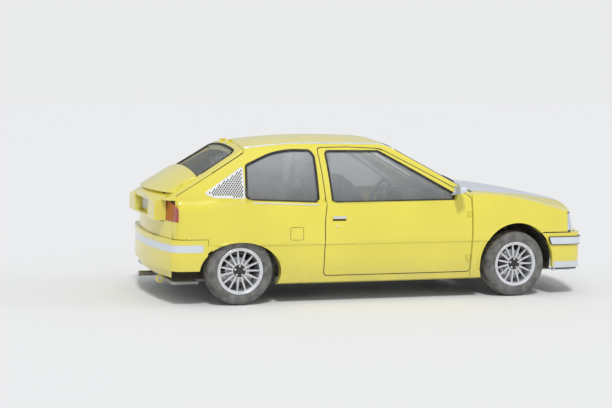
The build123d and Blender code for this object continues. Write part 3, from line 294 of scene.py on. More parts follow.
# surfaces of the body: points of (half width, height), and of each plan arc the radius and the widest x
CABIN_ARC = ((0.752, 0.85), (0.688, 1.07), (0.575, 1.3))
CABIN_FOOT_SLOPE = 0.034 / 0.15
CABIN_HEAD_SLOPE = 0.06 / 0.14
CABIN_PLAN = (18.0, -0.15)
TUCK = ([0.165, 0.179, 0.315, 0.503, 0.508], [0.7395, 0.7735, 0.8015, 0.8245, 0.8315])
LOWER_ARC = ((0.8315, 0.508), (0.8235, 0.6865), (0.7975, 0.845))
LOWER_PLAN = (60.0, -0.1)


def arc_reach(arc, z):
    """Half width at height z of the circle through three points, on the side of the middle one."""
    (ax, ay), (bx, by), (cx, cy) = arc
    d = 2 * (ax * (by - cy) + bx * (cy - ay) + cx * (ay - by))
    aa, bb, cc = ax**2 + ay**2, bx**2 + by**2, cx**2 + cy**2
    ux = (aa * (by - cy) + bb * (cy - ay) + cc * (ay - by)) / d
    uy = (aa * (cx - bx) + bb * (ax - cx) + cc * (bx - ax)) / d
    square = (ax - ux) ** 2 + (ay - uy) ** 2 - (z - uy) ** 2
    return ux + math.copysign(1, bx - ux) * np.sqrt(np.maximum(square, 0))


def turned_about(section, half_width, plan, x):
    """Half width at x of a section that is turned about a far upright axis."""
    radius, widest_x = plan
    axis_y = half_width - radius
    return axis_y + np.sqrt((section - axis_y) ** 2 - (x - widest_x) ** 2)


def cabin_side(x, z):
    """Half width of the cabin side, with straight runs below and above its arc."""
    (foot, foot_z), _, (head, head_z) = CABIN_ARC
    below = foot + (foot_z - z) * CABIN_FOOT_SLOPE
    above = head - (z - head_z) * CABIN_HEAD_SLOPE
    section = np.where(z < foot_z, below, np.where(z > head_z, above, arc_reach(CABIN_ARC, z)))
    return turned_about(section, foot, CABIN_PLAN, x)


def lower_side(x, z):
    """Half width of the lower side: tuck and crease, and a bow over them."""
    half_width, crease_z = LOWER_ARC[0]
    section = np.where(z < crease_z, np.interp(z, *TUCK), arc_reach(LOWER_ARC, z))
    return turned_about(section, half_width, LOWER_PLAN, x)


# paths and points
def points_of(x, y, z):
    """Points of which each coordinate is a number or an array."""
    return np.stack(np.broadcast_arrays(x, y, z), -1).astype(float)


def rounded_outline(points, radius, steps=6):
    """A closed outline with its corners turned into arcs of one radius, or of one each."""
    points = np.asarray(points, float)
    radii = np.broadcast_to(radius, len(points))
    out = []
    for before, here, after, radius in zip(np.roll(points, 1, 0), points, np.roll(points, -1, 0), radii):
        a, b = before - here, after - here
        a, b = a / np.linalg.norm(a), b / np.linalg.norm(b)
        half = math.acos(max(-1, min(1, float(a @ b)))) / 2
        cut = radius / math.tan(half)
        centre = here + (a + b) / np.linalg.norm(a + b) * radius / math.sin(half)
        start, end = here + a * cut - centre, here + b * cut - centre
        angle = math.acos(max(-1, min(1, float(start @ end) / radius**2)))
        t = np.linspace(0, 1, steps)[:, None]
        out.append(centre + (np.sin((1 - t) * angle) * start + np.sin(t * angle) * end) / math.sin(angle))
    return np.concatenate(out)


def spaced(path, step):
    """Points at an even step along a closed path."""
    ring = np.vstack([path, path[:1]])
    run = np.concatenate([[0], np.cumsum(np.linalg.norm(np.diff(ring, axis=0), axis=1))])
    at = np.linspace(0, run[-1], max(int(run[-1] / step), 12), endpoint=False)
    return np.stack([np.interp(at, run, ring[:, i]) for i in range(ring.shape[1])], -1)


def rounded_rectangle(half_width, half_height, radius, step):
    """A closed path round a rectangle with rounded corners."""
    a, b = half_width, half_height
    return spaced(rounded_outline([(-a, -b), (-a, b), (a, b), (a, -b)], radius), step)


def soft(values, passes=4):
    """Numbers or points along an open path, each drawn towards the mean of its neighbours a few times."""
    values = np.array(values, float)
    for _ in range(passes):
        values[1:-1] = values[1:-1] * 0.5 + (values[:-2] + values[2:]) * 0.25
    return values


def soft_ring(points, passes, lap=8):
    """The same for points along a closed path."""
    return soft(np.concatenate([points[-lap:], points, points[:lap]]), passes)[lap:-lap]


def resampled(points, count):
    """An even number of points along an open path, with its bends softened."""
    points = np.asarray(points, float)
    run = np.concatenate([[0], np.cumsum(np.linalg.norm(np.diff(points, axis=0), axis=1))])
    at = np.linspace(0, run[-1], count)
    return soft(np.stack([np.interp(at, run, points[:, i]) for i in range(points.shape[1])], -1))


def along(path, closed=False):
    """Unit vectors along a path."""
    way = np.roll(path, -1, 0) - np.roll(path, 1, 0) if closed else np.gradient(path, axis=0)
    return way / np.linalg.norm(way, axis=1)[:, None]


def square_to(ways, towards):
    """Unit vectors square to some ways of a plane, each on the side of the vector given for it."""
    square = quarter_turned(ways) / np.linalg.norm(ways, axis=1)[:, None]
    return square * np.sign(np.sum(square * towards, axis=1))[:, None]


def full_turn(count):
    """Angles at an even step round a full turn."""
    return np.linspace(0, 2 * math.pi, count, endpoint=False)


def quarter_turned(ways):
    """Vectors of a plane, turned left."""
    return np.stack([-ways[:, 1], ways[:, 0]], -1)


def bend(start, pull, end, t):
    """A curve drawn towards pull on its way: (1 - t)^2 start + 2 t (1 - t) pull + t^2 end."""
    return (1 - t) ** 2 * start + 2 * t * (1 - t) * pull + t**2 * end


def rows_between(start, end, count):
    """Values from start to end, in one row for each of their entries."""
    v = np.linspace(0, 1, count)
    return np.reshape(start, (-1, 1)) * (1 - v) + np.reshape(end, (-1, 1)) * v


# meshes
def grid_faces(rows, columns, closed_rows=False, closed_columns=False):
    """Quads between neighbouring points of a grid, wrapping round where it is closed."""
    r = np.arange(rows if closed_rows else rows - 1)
    c = np.arange(columns if closed_columns else columns - 1)
    r, c = np.meshgrid(r, c, indexing="ij")
    r2, c2 = (r + 1) % rows, (c + 1) % columns
    quads = np.stack([r * columns + c, r2 * columns + c, r2 * columns + c2, r * columns + c2], -1)
    return quads.reshape(-1, 4)


def shade(mesh, smooth_deg):
    """Smooth shading, with edges sharper than an angle kept sharp."""
    mesh.polygons.foreach_set("use_smooth", np.ones(len(mesh.polygons), bool))
    mesh.set_sharp_from_angle(angle=math.radians(smooth_deg))


def placed(name, data):
    """A new object in the scene."""
    made = bpy.data.objects.new(name, data)
    scene.collection.objects.link(made)
    return made


def new_piece(name, points, faces, material, body, smooth_deg=40.0):
    """A mesh from points and faces, its faces turned outwards, riding on a body."""
    mesh = bpy.data.meshes.new(name)
    mesh.from_pydata(np.reshape(points, (-1, 3)).tolist(), [], [list(map(int, f)) for f in faces])
    work = bmesh.new()
    work.from_mesh(mesh)
    bmesh.ops.remove_doubles(work, verts=work.verts, dist=1e-6)
    bmesh.ops.recalc_face_normals(work, faces=work.faces)
    work.to_mesh(mesh)
    work.free()
    shade(mesh, smooth_deg)
    mesh.materials.append(material)
    piece = placed(name, mesh)
    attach(piece, body)
    return piece


def grid_piece(name, grid, material, body, smooth_deg=40.0, closed_rows=False, closed_columns=True):
    """A surface from a grid of points, closed or open each way; the open ends of a tube get flat caps."""
    rows, columns = np.shape(grid)[:2]
    faces = grid_faces(rows, columns, closed_rows, closed_columns).tolist()
    if closed_columns and not closed_rows:
        faces += [list(range(columns)), list(range((rows - 1) * columns, rows * columns))]
    return new_piece(name, grid, faces, material, body, smooth_deg)


def round_axis(centre, y, r, t):
    """Places round a wheel's axis: x = r cos t, z = r sin t, and y along it."""
    return points_of(centre[0] + r * np.cos(t), centre[1] + y, centre[2] + r * np.sin(t))


def turned(profile, side, centre, segments):
    """A grid from a profile of (distance outwards, radius) turned about a wheel's axis."""
    outwards, r = np.array(profile, float).T[:, None, :]
    return round_axis(centre, side * outwards, r, full_turn(segments)[:, None])


def repeated(points, faces, offsets):
    """One small shape copied to many places as arrays."""
    every = (offsets[:, None, :] + np.asarray(points)[None, :, :]).reshape(-1, 3)
    start = np.arange(len(offsets))[:, None, None] * len(points)
    return every, (faces[None, :, :] + start).reshape(-1, faces.shape[1])


def bead_section(width, proud, sunk, power=1.0):
    """A half-round section, or at a low power a low box with round edges: offsets across, and heights."""
    t = np.linspace(0, math.pi, 9)
    across = np.concatenate([-np.cos(t) * width / 2, [width / 2, -width / 2]])
    rise = np.concatenate([np.sin(t) ** power * proud, [-sunk, -sunk]])
    return across, rise


def laid_bead(name, places, normals, material, section, body=SHELL, closed=False, flat=False):
    """A bead lying on a skin: at each place its section offsets along b = t x n and rises along n; open ends
    draw in."""
    tangent = along(places, closed)
    normals = normals - tangent * np.sum(normals * tangent, axis=1)[:, None]
    normals /= np.linalg.norm(normals, axis=1)[:, None]
    across, rise = bead_section(*section, 0.25 if flat else 1.0)
    size = np.ones(len(places))
    if not closed:
        size[0] = size[-1] = 0.5
    grid = (
        places[:, None, :]
        + np.cross(tangent, normals)[:, None, :] * (across[None, :] * size[:, None])[..., None]
        + normals[:, None, :] * (rise[None, :] * np.where(rise > 0, size[:, None], 1))[..., None]
    )
    grid_piece(name, grid, material, body, 50, closed)


def patch(name, top, material, thick, down=(0, 0, -1)):
    """A thin closed sheet: a grid of points and the same grid moved by its thickness, joined at the rim."""
    top = np.asarray(top, float)
    rows, columns = top.shape[:2]
    order = np.arange(rows * columns).reshape(rows, columns)
    rim = np.concatenate([order[0], order[1:, -1], order[-1, -2::-1], order[-2:0:-1, 0]])
    ahead, count = np.roll(rim, -1), rows * columns
    faces = grid_faces(rows, columns)
    joint = np.stack([rim, ahead, ahead + count, rim + count], -1)
    faces = np.concatenate([faces, faces[:, ::-1] + count, joint])
    points = np.stack([top, top + np.array(down, float) * thick])
    new_piece(name, points, faces, material, SHELL)


# rays against the solids
def tree_over(*meshes):
    """A search tree over the surfaces of some meshes."""
    work = bmesh.new()
    for mesh in meshes:
        work.from_mesh(mesh)
    tree = BVHTree.FromBMesh(work)
    work.free()
    return tree


def skin_of(*names):
    """A search tree over the surfaces of some nodes."""
    return tree_over(*(nodes[name].data for name in names))


def cast(tree, starts, direction):
    """Where rays from the starts first meet a surface, and its normals there, turned against the rays."""
    way = Vector(direction)
    hits = [tree.ray_cast(Vector(start), way) for start in starts]
    missed = (np.nan,) * 3
    places = np.array([tuple(hit[0]) if hit[0] else missed for hit in hits])
    normals = np.array([tuple(hit[1]) if hit[0] else missed for hit in hits])
    good = ~np.isnan(places[:, 0])
    at = np.arange(len(hits))
    for axis in range(3):
        places[:, axis] = np.interp(at, at[good], places[good, axis])
        normals[:, axis] = np.interp(at, at[good], normals[good, axis])
    away = np.sign(-(normals @ np.array(direction, float)))
    normals *= np.where(away == 0, 1, away)[:, None]
    return places, normals


def from_side(tree, x, z, side):
    """Rays from outside one side of the car, level and square to it."""
    return cast(tree, points_of(x, side * 1.2, z), (0, -side, 0))


def from_above(tree, x, y, z=1.6):
    """Rays straight down from a height."""
    return cast(tree, points_of(x, y, z), (0, 0, -1))


# nodes and their finishes
def dressed(node, material, smooth_deg=16.0):
    """A merged copy of a node with smooth shading and weighted normals, standing for it."""
    mesh = nodes[node].data.copy()
    mesh.name = node + "_skin"
    work = bmesh.new()
    work.from_mesh(mesh)
    bmesh.ops.remove_doubles(work, verts=work.verts, dist=2e-6)
    bmesh.ops.dissolve_degenerate(work, edges=work.edges, dist=1e-6)
    work.to_mesh(mesh)
    work.free()
    shade(mesh, smooth_deg)
    mesh.materials.clear()
    mesh.materials.append(material)
    piece = placed(node + "_skin", mesh)
    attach(piece, body_of_node[node])
    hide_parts(node)
    even = piece.modifiers.new("even_shading", "WEIGHTED_NORMAL")
    even.keep_sharp = True
    even.weight = 80


FINISHES = [
    (yellow_paint, "side_panel_left side_panel_right door_left door_right front_wing_left front_wing_right "
                   "roof_panel hatch"),
    (shaded_bonnet_paint, "bonnet"),
    (yellow_paint, "front_bumper rear_bumper rear_panel"),
    (white_paint, "bumper_band front_lip door_mirror_left door_mirror_right"),
    (side_glass, "door_glass_left door_glass_right"),
    (quarter_pane, "quarter_glass"),
    (screen_glass, "windscreen hatch_glass"),
    (head_lens, "head_lamps"),
    (tail_lens, "tail_lamps"),
    (black_trim, "grille cowl"),
    (under_paint, "front_panel inner_wings rear_wheel_houses"),
    (cabin_shell, "bulkhead floor_pan"),
    (cast_steel, "upright_left upright_right front_subframe rear_axle engine_block"),
    (pipe_steel, "sump_guard"),
    (under_paint, "fuel_tank"),
    (pipe_steel, "exhaust"),
    (cabin_plastic, "dashboard steering_wheel"),
    (seat_shell, "bucket_seats"),
    (cage_paint, "roll_cage"),
    (rim_silver, "rim_front_left rim_front_right rim_rear_left rim_rear_right"),
]
for material, names in FINISHES:
    for node in names.split():
        dressed(node, material)

# tyres: the half section is (distance from the middle, radius) over shoulder, sidewall with two rings, seat
AXLES = (("front_", FRONT_AXLE_X, FRONT_HALF_TRACK), ("rear_", REAR_AXLE_X, REAR_HALF_TRACK))
WHEELS = [(end + label, x, side * half, side) for end, x, half in AXLES for label, side in SIDES]
TREAD_HALF = 0.0485
TREAD_CROWN = 0.004
TYRE_HALF_SECTION = [
    (0.062, 0.2836), (0.072, 0.2785), (0.081, 0.271), (0.0872, 0.262), (0.0912, 0.25), (0.0922, 0.244),
    (0.0906, 0.2425), (0.0915, 0.236), (0.0922, 0.228), (0.0912, 0.219), (0.09, 0.2145), (0.0904, 0.212),
    (0.089, 0.206), (0.0868, 0.2005), (0.082, 0.1975), (0.0757, 0.1975), (0.0735, 0.1787), (0.0, 0.1784),
]
GROOVE_PLACES = (-0.028, 0.0, 0.028)
GROOVE_HALF = 0.0032
GROOVE_DEPTH = 0.0065
CUT_COUNT = 36
CUT_SLANT = 160.0
CUT_DEPTH = 0.005


def tyre_grid(centre, around=288):
    """A closed tyre whose radius dips in three grooves and in slanted cuts that repeat round the wheel."""
    across = np.linspace(-TREAD_HALF, TREAD_HALF, 41)
    tread = [(y, TYRE_RADIUS - TREAD_CROWN * (abs(y) / TREAD_HALF) ** 4) for y in across]
    inner = [(-y, r) for y, r in TYRE_HALF_SECTION[-2::-1]]
    y, r = np.array(inner + tread + TYRE_HALF_SECTION).T[:, None, :]
    t = full_turn(around)[:, None]
    on_tread = (np.abs(y) < 0.075) & (r > 0.26)
    grooves = sum(np.exp(-(((y - at) / GROOVE_HALF) ** 4)) for at in GROOVE_PLACES)
    slant = np.cos(CUT_COUNT * t + np.abs(y) * CUT_SLANT)
    cuts = np.clip((slant - 0.72) * 6, 0, 1) * (np.abs(y) > 0.006) * (np.abs(y) < 0.0735)
    dip = np.maximum(GROOVE_DEPTH * np.clip(grooves * (np.abs(y) < 0.05), 0, 1), CUT_DEPTH * cuts)
    return round_axis(centre, y, r - np.where(on_tread, dip, 0), t)


for name, x, y, side in WHEELS:
    grid = tyre_grid((x, y, TYRE_RADIUS))
    tyre = grid_piece("tyre_carcass_" + name, grid, tyre_surface, "wheel_" + name, 35, True, True)
    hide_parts("tyre_" + name)

# window seals and bright mouldings; a bead's section is its width, its height over the skin and its depth
DOOR_WINDOW = [(-0.506, 0.85), (-0.536, 1.277), (-0.052, 1.277), (0.61, 0.918), (0.64, 0.862)]
QUARTER_WINDOW = [(-1.255, 0.9), (-1.215, 0.873), (-0.655, 0.852), (-0.632, 0.88), (-0.64, 1.236),
                  (-0.672, 1.281), (-0.85, 1.284), (-1.015, 1.257), (-1.24, 1.158)]
QUARTER_CORNERS = [0.028, 0.04, 0.018, 0.022, 0.03, 0.03, 0.7, 0.55, 0.022]
DOOR_CORNER = 0.028
QUARTER_SEAL = (0.021, 0.0035, 0.007)
DOOR_SEAL = (0.018, 0.003, 0.007)
SEAL_STEP = 0.012
SILL_TRIM_ENDS = ((-1.222, 0.8555), (-0.65, 0.8345))
SILL_TRIM = (0.011, 0.005, 0.006)
CABIN_LEAN = (0.96, 0.27)
ROOF_HALF = 0.546
ROOF_FRONT_X = 0.122
ROOF_REAR_X = -1.244
ROOF_WIDEST_X = -0.15
REAR_BOW = 0.042
FRONT_BOW = 0.004
DRIP_MOULDING = (0.018, 0.009, 0.006)
DRIP_SET_IN = (0.012, 0.004)
ROOF_GAP = 0.003
DRIP_CAST_OFF = 0.009
DRIP_OFF = 0.004


def window_seal(name, outline, side, section, body):
    """A rounded bead round a window: at each point its section stands off the cabin side."""
    path = spaced(outline, SEAL_STEP)
    across = quarter_turned(along(path, True))
    rows = []
    for offset, rise in zip(*bead_section(*section)):
        x, z = (path + across * offset).T
        rows.append(points_of(x, side * (cabin_side(x, z) + rise), z))
    grid_piece(name, np.stack(rows, axis=1), seal_and_gap_shade, body, 50, True)


upper_skin = skin_of("roof_panel", "side_panel_left", "side_panel_right", "door_left", "door_right", "hatch")
for label, side in SIDES:
    quarter = rounded_outline(QUARTER_WINDOW, QUARTER_CORNERS)
    window_seal("quarter_seal_" + label, quarter, side, QUARTER_SEAL, SHELL)
    opening = rounded_outline(DOOR_WINDOW, DOOR_CORNER)
    window_seal("door_seal_" + label, opening, side, DOOR_SEAL, "door_" + label)
    x, z = np.linspace(*SILL_TRIM_ENDS, 40).T
    places, _ = from_side(upper_skin, x, z, side)
    places[:, 1] = side * soft(np.maximum(np.abs(places[:, 1]), cabin_side(x, z)), 6)
    outwards = (0, side * CABIN_LEAN[0], CABIN_LEAN[1])
    laid_bead("quarter_sill_trim_" + label, places, outwards, bright_trim, SILL_TRIM)
    x = np.linspace(ROOF_REAR_X + DRIP_SET_IN[0], ROOF_FRONT_X - DRIP_SET_IN[1], 60)
    far = np.maximum((x - ROOF_WIDEST_X) / (ROOF_REAR_X - ROOF_WIDEST_X), 0)
    near = np.maximum((x - ROOF_WIDEST_X) / (ROOF_FRONT_X - ROOF_WIDEST_X), 0)
    y = ROOF_HALF + ROOF_GAP - REAR_BOW * far**2 - FRONT_BOW * near
    places, normals = from_above(upper_skin, x, side * (y + DRIP_CAST_OFF))
    places[:, 1], places[:, 2] = side * (y + DRIP_OFF), soft(places[:, 2], 8)
    laid_bead("drip_moulding_" + label, places, soft(normals, 20), bright_trim, DRIP_MOULDING)

# screen and hatch glass surrounds
SCREEN = [(0.768, -0.606), (0.768, 0.606), (0.13, 0.498), (0.13, -0.498)]
HATCH_GLASS = [(-1.31, 0.48), (-1.31, -0.48), (-1.652, -0.529), (-1.652, 0.529)]
SCREEN_CORNER = 0.06
SCREEN_CAST_OFF = 0.012
SCREEN_SEAL_OFF = 0.004
SCREEN_SEAL = (0.024, 0.004, 0.008)
front_skin = skin_of("roof_panel", "side_panel_left", "side_panel_right", "windscreen", "cowl")
rear_skin = skin_of("hatch", "hatch_glass")
for name, outline, tree, body in (
    ("screen_seal", SCREEN, front_skin, SHELL),
    ("hatch_seal", HATCH_GLASS, rear_skin, "hatch"),
):
    path = spaced(rounded_outline(outline, SCREEN_CORNER), SEAL_STEP)
    away = square_to(along(path, True), path - path.mean(0))
    places, normals = from_above(tree, *(path + away * SCREEN_CAST_OFF).T)
    places = soft_ring(places, 6)
    places[:, :2] = path + away * SCREEN_SEAL_OFF
    laid_bead(name, places, soft_ring(normals, 12), seal_and_gap_shade, SCREEN_SEAL, body, True)

# punched vent panels: slanted rows of shallow holes filled with painted shade, longer along the slant,
# inside the outline
VENT = [(-1.272, 1.15), (-1.266, 0.886), (-1.52, 0.894), (-1.61, 0.926)]
VENT_CORNER = 0.01
VENT_EDGE = (0.007, 0.0022, 0.004)
VENT_EDGE_SUNK = 0.001
HOLE_PITCH = 0.0205
HOLE_ROWS = 0.92
HOLE_SUNK = 0.0012
HOLE_RINGS = ((1.0, -0.002), (1.0, 0.0006), (0.72, 0.0009))
HOLE_RADIUS = 0.0058
HOLE_STRETCH = 0.42
HOLE_MARGIN = 0.014
HOLE_LEAN = math.radians(54)
HOLE_LEAN_IN = 0.26
row, column = np.meshgrid(np.arange(-30, 31), np.arange(-30, 31), indexing="ij")
slanted = row * HOLE_PITCH * HOLE_ROWS
lattice = [column * HOLE_PITCH + slanted * math.cos(HOLE_LEAN), slanted * math.sin(HOLE_LEAN)]
lattice = np.stack(lattice, -1).reshape(-1, 2) + np.mean(VENT, axis=0)
corners = np.array(VENT)
inward = square_to(np.roll(corners, -1, 0) - corners, corners.mean(0) - corners)
depth_in = np.einsum("nei,ei->ne", lattice[:, None, :] - corners[None, :, :], inward)
holes = lattice[np.all(depth_in > HOLE_MARGIN, axis=1)]
turn = full_turn(12)
longer = HOLE_STRETCH * HOLE_RADIUS * np.cos(turn - HOLE_LEAN)
flat_x = HOLE_RADIUS * np.cos(turn) + longer * math.cos(HOLE_LEAN)
flat_z = HOLE_RADIUS * np.sin(turn) + longer * math.sin(HOLE_LEAN)
middle_face = np.array([[24, 24 + i, 25 + i] for i in range(1, 11)])
for label, side in SIDES:
    y = cabin_side(holes[:, 0], holes[:, 1]) - HOLE_SUNK
    centres = points_of(holes[:, 0], side * y, holes[:, 1])
    disc = points_of(flat_x, -side * HOLE_LEAN_IN * flat_z, flat_z)
    points = np.concatenate([disc * size + (0, side * rise, 0) for size, rise in HOLE_RINGS])
    every, quads = repeated(points, grid_faces(3, 12, False, True), centres)
    fans = repeated(points, middle_face, centres)[1]
    # the holes' dark colour is painted shade of the hollow behind the panel
    new_piece("vent_holes_" + label, every, quads.tolist() + fans.tolist(), punched_hole_shade, SHELL, 30)
    x, z = spaced(rounded_outline(VENT, VENT_CORNER), 0.01).T
    places = points_of(x, side * (cabin_side(x, z) - VENT_EDGE_SUNK), z)
    outwards = (0, side * CABIN_LEAN[0], CABIN_LEAN[1])
    laid_bead("vent_edge_" + label, places, outwards, white_paint, VENT_EDGE, closed=True)

# door handles, locks, fuel flap, mirror glass and mirror feet
HANDLE_X = (-0.53, -0.411)
HANDLE = (
    ("grip", 0.7295, bright_trim, (0.021, 0.0035, 0.002)),
    ("recess", 0.7085, black_trim, (0.014, 0.001, 0.001)),
)
LOCK = (-0.489, 0.657)
LOCK_PROFILE = [(0, 0.0001), (0.0022, 0.0035), (0.0022, 0.0062), (0.0012, 0.0078), (-0.002, 0.0082)]
FLAP = [(-0.9, 0.545), (-0.9, 0.65), (-0.787, 0.65), (-0.787, 0.545)]
FLAP_CORNER = 0.012
FLAP_LINE = (0.0035, 0.0006, 0.002)
MIRROR_REAR_X = 0.584
MIRROR_Y, MIRROR_Z = 0.88, 0.958
MIRROR_GLASS = (0.06, 0.028, 0.014)
MIRROR_DOME = 0.002
# the foot's sections from the door's shoulder up to the head: x from and to, y from and to, height
MIRROR_FOOT = [
    (0.592, 0.656, 0.722, 0.763, 0.905),
    (0.598, 0.65, 0.742, 0.785, 0.932),
    (0.604, 0.64, 0.768, 0.804, 0.958),
]
for label, side in SIDES:
    door, door_skin = "door_" + label, skin_of("door_" + label)
    x = np.linspace(*HANDLE_X, 16)
    for name, z, trim, section in HANDLE:
        laid = from_side(door_skin, x, z, side)
        laid_bead(f"handle_{name}_{label}", *laid, trim, section, door, flat=True)
    hit = from_side(door_skin, [LOCK[0]], LOCK[1], side)[0][0]
    grid_piece("lock_" + label, turned(LOCK_PROFILE, side, hit, 24), bright_trim, door, 30, True, False)
# the fuel flap is only its gap: a dark line of painted shade round it
x, z = spaced(rounded_outline(FLAP, FLAP_CORNER), 0.006).T
laid = from_side(skin_of("side_panel_right"), x, z, -1)
laid_bead("fuel_flap_gap", *laid, seal_and_gap_shade, FLAP_LINE, closed=True)
face = rounded_rectangle(*MIRROR_GLASS, 0.004)
for label, side in SIDES:
    grid = []
    for k in np.linspace(0, 1, 6):
        y, z = (face * max(k, 0.001)).T
        x = MIRROR_REAR_X - MIRROR_DOME * (1 - k * k)
        grid.append(points_of(x, side * (MIRROR_Y + y), MIRROR_Z + z))
    grid_piece("mirror_glass_" + label, grid, mirror_silver, "door_" + label, 50)
    grid = []
    for x0, x1, y0, y1, z in MIRROR_FOOT:
        x, y = rounded_outline([(x0, y0), (x1, y0), (x1, y1), (x0, y1)], 0.008).T
        grid.append(points_of(x, side * y, z))
    grid_piece("mirror_foot_" + label, grid, white_paint, "door_" + label, 30)


# edges of the bumper band, line of the lip and white face over the foot of the front bumper
def round_the_end(tree, z, end, reach, count=120):
    """Outermost places at one height, with level normals, round the nose (end 1) or the tail (end -1)."""
    middle_x = end * 1.2
    angle = np.radians((0 if end > 0 else 180) + np.linspace(-reach, reach, count))
    starts = points_of(middle_x + 3 * np.cos(angle), 3 * np.sin(angle), z)
    found = [tree.ray_cast(Vector(p), Vector((middle_x - p[0], -p[1], 0)).normalized()) for p in starts]
    places = np.array([tuple(f[0]) for f in found if f[0]])
    normals = np.array([tuple(f[1]) for f in found if f[0]])
    normals[:, 2] = 0
    return places, normals


band_skin = skin_of("bumper_band")
lip_skin = skin_of("front_lip")
for name, tree, z, at_z, end, width, proud, reach in (
    ("band_edge_top_front", band_skin, 0.52, 0.5265, 1, 0.007, -0.003, 72),
    ("band_edge_foot_front", band_skin, 0.466, 0.4595, 1, 0.007, -0.003, 72),
    ("band_edge_top_rear", band_skin, 0.512, 0.5185, -1, 0.006, -0.003, 64),
    ("band_edge_foot_rear", band_skin, 0.458, 0.4515, -1, 0.006, -0.003, 64),
    ("lip_line", lip_skin, 0.242, 0.2425, 1, 0.013, -0.0005, 67),
):
    places, normals = round_the_end(tree, z, end, reach)
    places = places + normals * proud
    places[:, 2] = at_z
    laid_bead(name, places, normals, black_trim, (width, 0.003, 0.01))

LIP_FACE_Z = (0.2505, 0.306)
LIP_FACE_CAST_Z = 0.29
LIP_FACE_REACH = 66.3
LIP_FACE_PROUD = 0.0022
places, normals = round_the_end(skin_of("front_bumper"), LIP_FACE_CAST_Z, 1, LIP_FACE_REACH, 141)
normals = soft(normals, 3)
normals /= np.linalg.norm(normals, axis=1)[:, None]
x, y, _ = (places + normals * LIP_FACE_PROUD).T
patch("lip_face", points_of(x, y, np.linspace(*LIP_FACE_Z, 8)[:, None]), white_paint, 0.006, -normals)

# painted shade of the shut lines of doors, hatch and front bumper: dark lines laid over the gaps
DOOR_GAP = [(0.7575, 0.2335), (-0.5925, 0.2335), (-0.5955, 0.7), (-0.5685, 0.88), (-0.6025, 1.3065),
            (-0.33, 1.3115), (-0.03, 1.2995), (0.6915, 0.9285), (0.7575, 0.8815)]
DOOR_GAP_CORNERS = [0.03, 0.03, 0.4, 0.4, 0.03, 0.6, 0.3, 0.1, 0.03]
HATCH_GAP = np.array([(-1.2465, 1.318), (-1.2465, 1.262), (-1.8475, 0.9065)])
HATCH_BEND = 0.045
BUMPER_GAP_X = (1.4415, 1.737)
BUMPER_GAP_Z = 0.5665
BUMPER_GAP = (0.009, 0.0012, 0.003)


def gap_line(name, path, tree, side, width, closed=False, reach=0.01):
    """A dark flat line of painted shade along a gap seen from the side, midway between the skins on both
    sides of it.
    """
    across = quarter_turned(along(path, closed)) * reach
    (first, out_1), (second, out_2) = [from_side(tree, *(path + across * way).T, side) for way in (1, -1)]
    places = points_of(path[:, 0], soft((first[:, 1] + second[:, 1]) / 2, 3), path[:, 1])
    laid_bead(name, places, soft(out_1 + out_2, 8), seal_and_gap_shade, (width, 0.0007, 0.004), SHELL, closed, True)


door_path = spaced(rounded_outline(DOOR_GAP, DOOR_GAP_CORNERS), 0.01)
head, corner, tail = HATCH_GAP
leave = corner + (tail - corner) * HATCH_BEND
curve = bend((head + corner) / 2, corner, leave, np.linspace(0, 1, 12)[:, None])
hatch_path = resampled(np.concatenate([[head], curve, [tail]]), 80)
for label, side in SIDES:
    tree = skin_of("door_" + label, "side_panel_" + label, "front_wing_" + label, "hatch", "roof_panel")
    gap_line("door_gap_" + label, door_path, tree, side, 0.0075, True)
    gap_line("hatch_gap_" + label, hatch_path, tree, side, 0.0085)
    x = np.linspace(*BUMPER_GAP_X, 50)
    laid = from_side(skin_of("front_wing_" + label), x, BUMPER_GAP_Z, side)
    laid_bead("bumper_gap_" + label, *laid, seal_and_gap_shade, BUMPER_GAP, flat=True)

# closing pieces that the solids lack, at shoulder, tail corner, hinges, rear arch, bumper, band, head lamp
COVE_X = (-1.44, -1.85)
COVE_Y = 0.752
COVE_HEAD_Z = 0.866
COVE_RISE, COVE_RISE_RUN = 0.034, 0.08
COVE_SIDE_Z = 0.9
COVE_PROUD = 0.0012
COVE_PULL = (0.014, 0.005)
TAIL_CORNER = ([-1.91, -1.9, -1.88, -1.86, -1.852], [0.53, 0.583, 0.676, 0.748, 0.762])
TAIL_CORNER_Z = (0.564, 0.699)
TAIL_CORNER_PROUD = 0.0015
TAIL_LEAN_Z, TAIL_LEAN = 0.66, 0.1
HINGE_X = (0.7105, 0.7535)
HINGE_HEIGHTS = (0.36, 0.74)
HINGE_HALF = 0.0212
HINGE_SUNK = 0.002
REAR_LIP_REACH, REAR_LIP_HEIGHT, REAR_LIP_Z = 0.371, 0.278, 0.27
REAR_END_X = -1.6035
REAR_END_Y = 0.8118
REAR_END_Z = (0.449, 0.5075)
BUMPER_Z = (0.4826, 0.5616)
BUMPER_SIDE_Y = 0.8168
BUMPER_START_X = 1.502
BAND_Z = (0.4625, 0.5235)
BAND_START_X = 1.568
BAND_TIP_X = 1.506
BAND_SLANT = 0.026
BAND_Y = 0.8283
BAND_TURN = 0.015
BAND_EDGE_Y = 0.8262
BAND_EDGE = (0.007, 0.003, 0.012)
LAMP_EDGE_X = (1.697, 1.736)
LAMP_EDGE_Z = (0.583, 0.733)
LAMP_EDGE_LINE = (0.009, 0.0022, 0.006)
LAMP_EDGE_PROUD = 0.0022
LAMP_EDGE_MARGIN = (0, 0, 0.005)
band_rim = np.array([
    (BAND_START_X, BAND_Z[1] + 0.003), (BAND_TIP_X - 0.002, BAND_Z[1] + 0.003),
    (BAND_TIP_X + BAND_SLANT - 0.003, BAND_Z[0] - 0.003), (BAND_START_X, BAND_Z[0] - 0.003),
])
band_rim = np.stack([np.interp(np.linspace(0, 3, 40), range(4), column) for column in band_rim.T], -1)
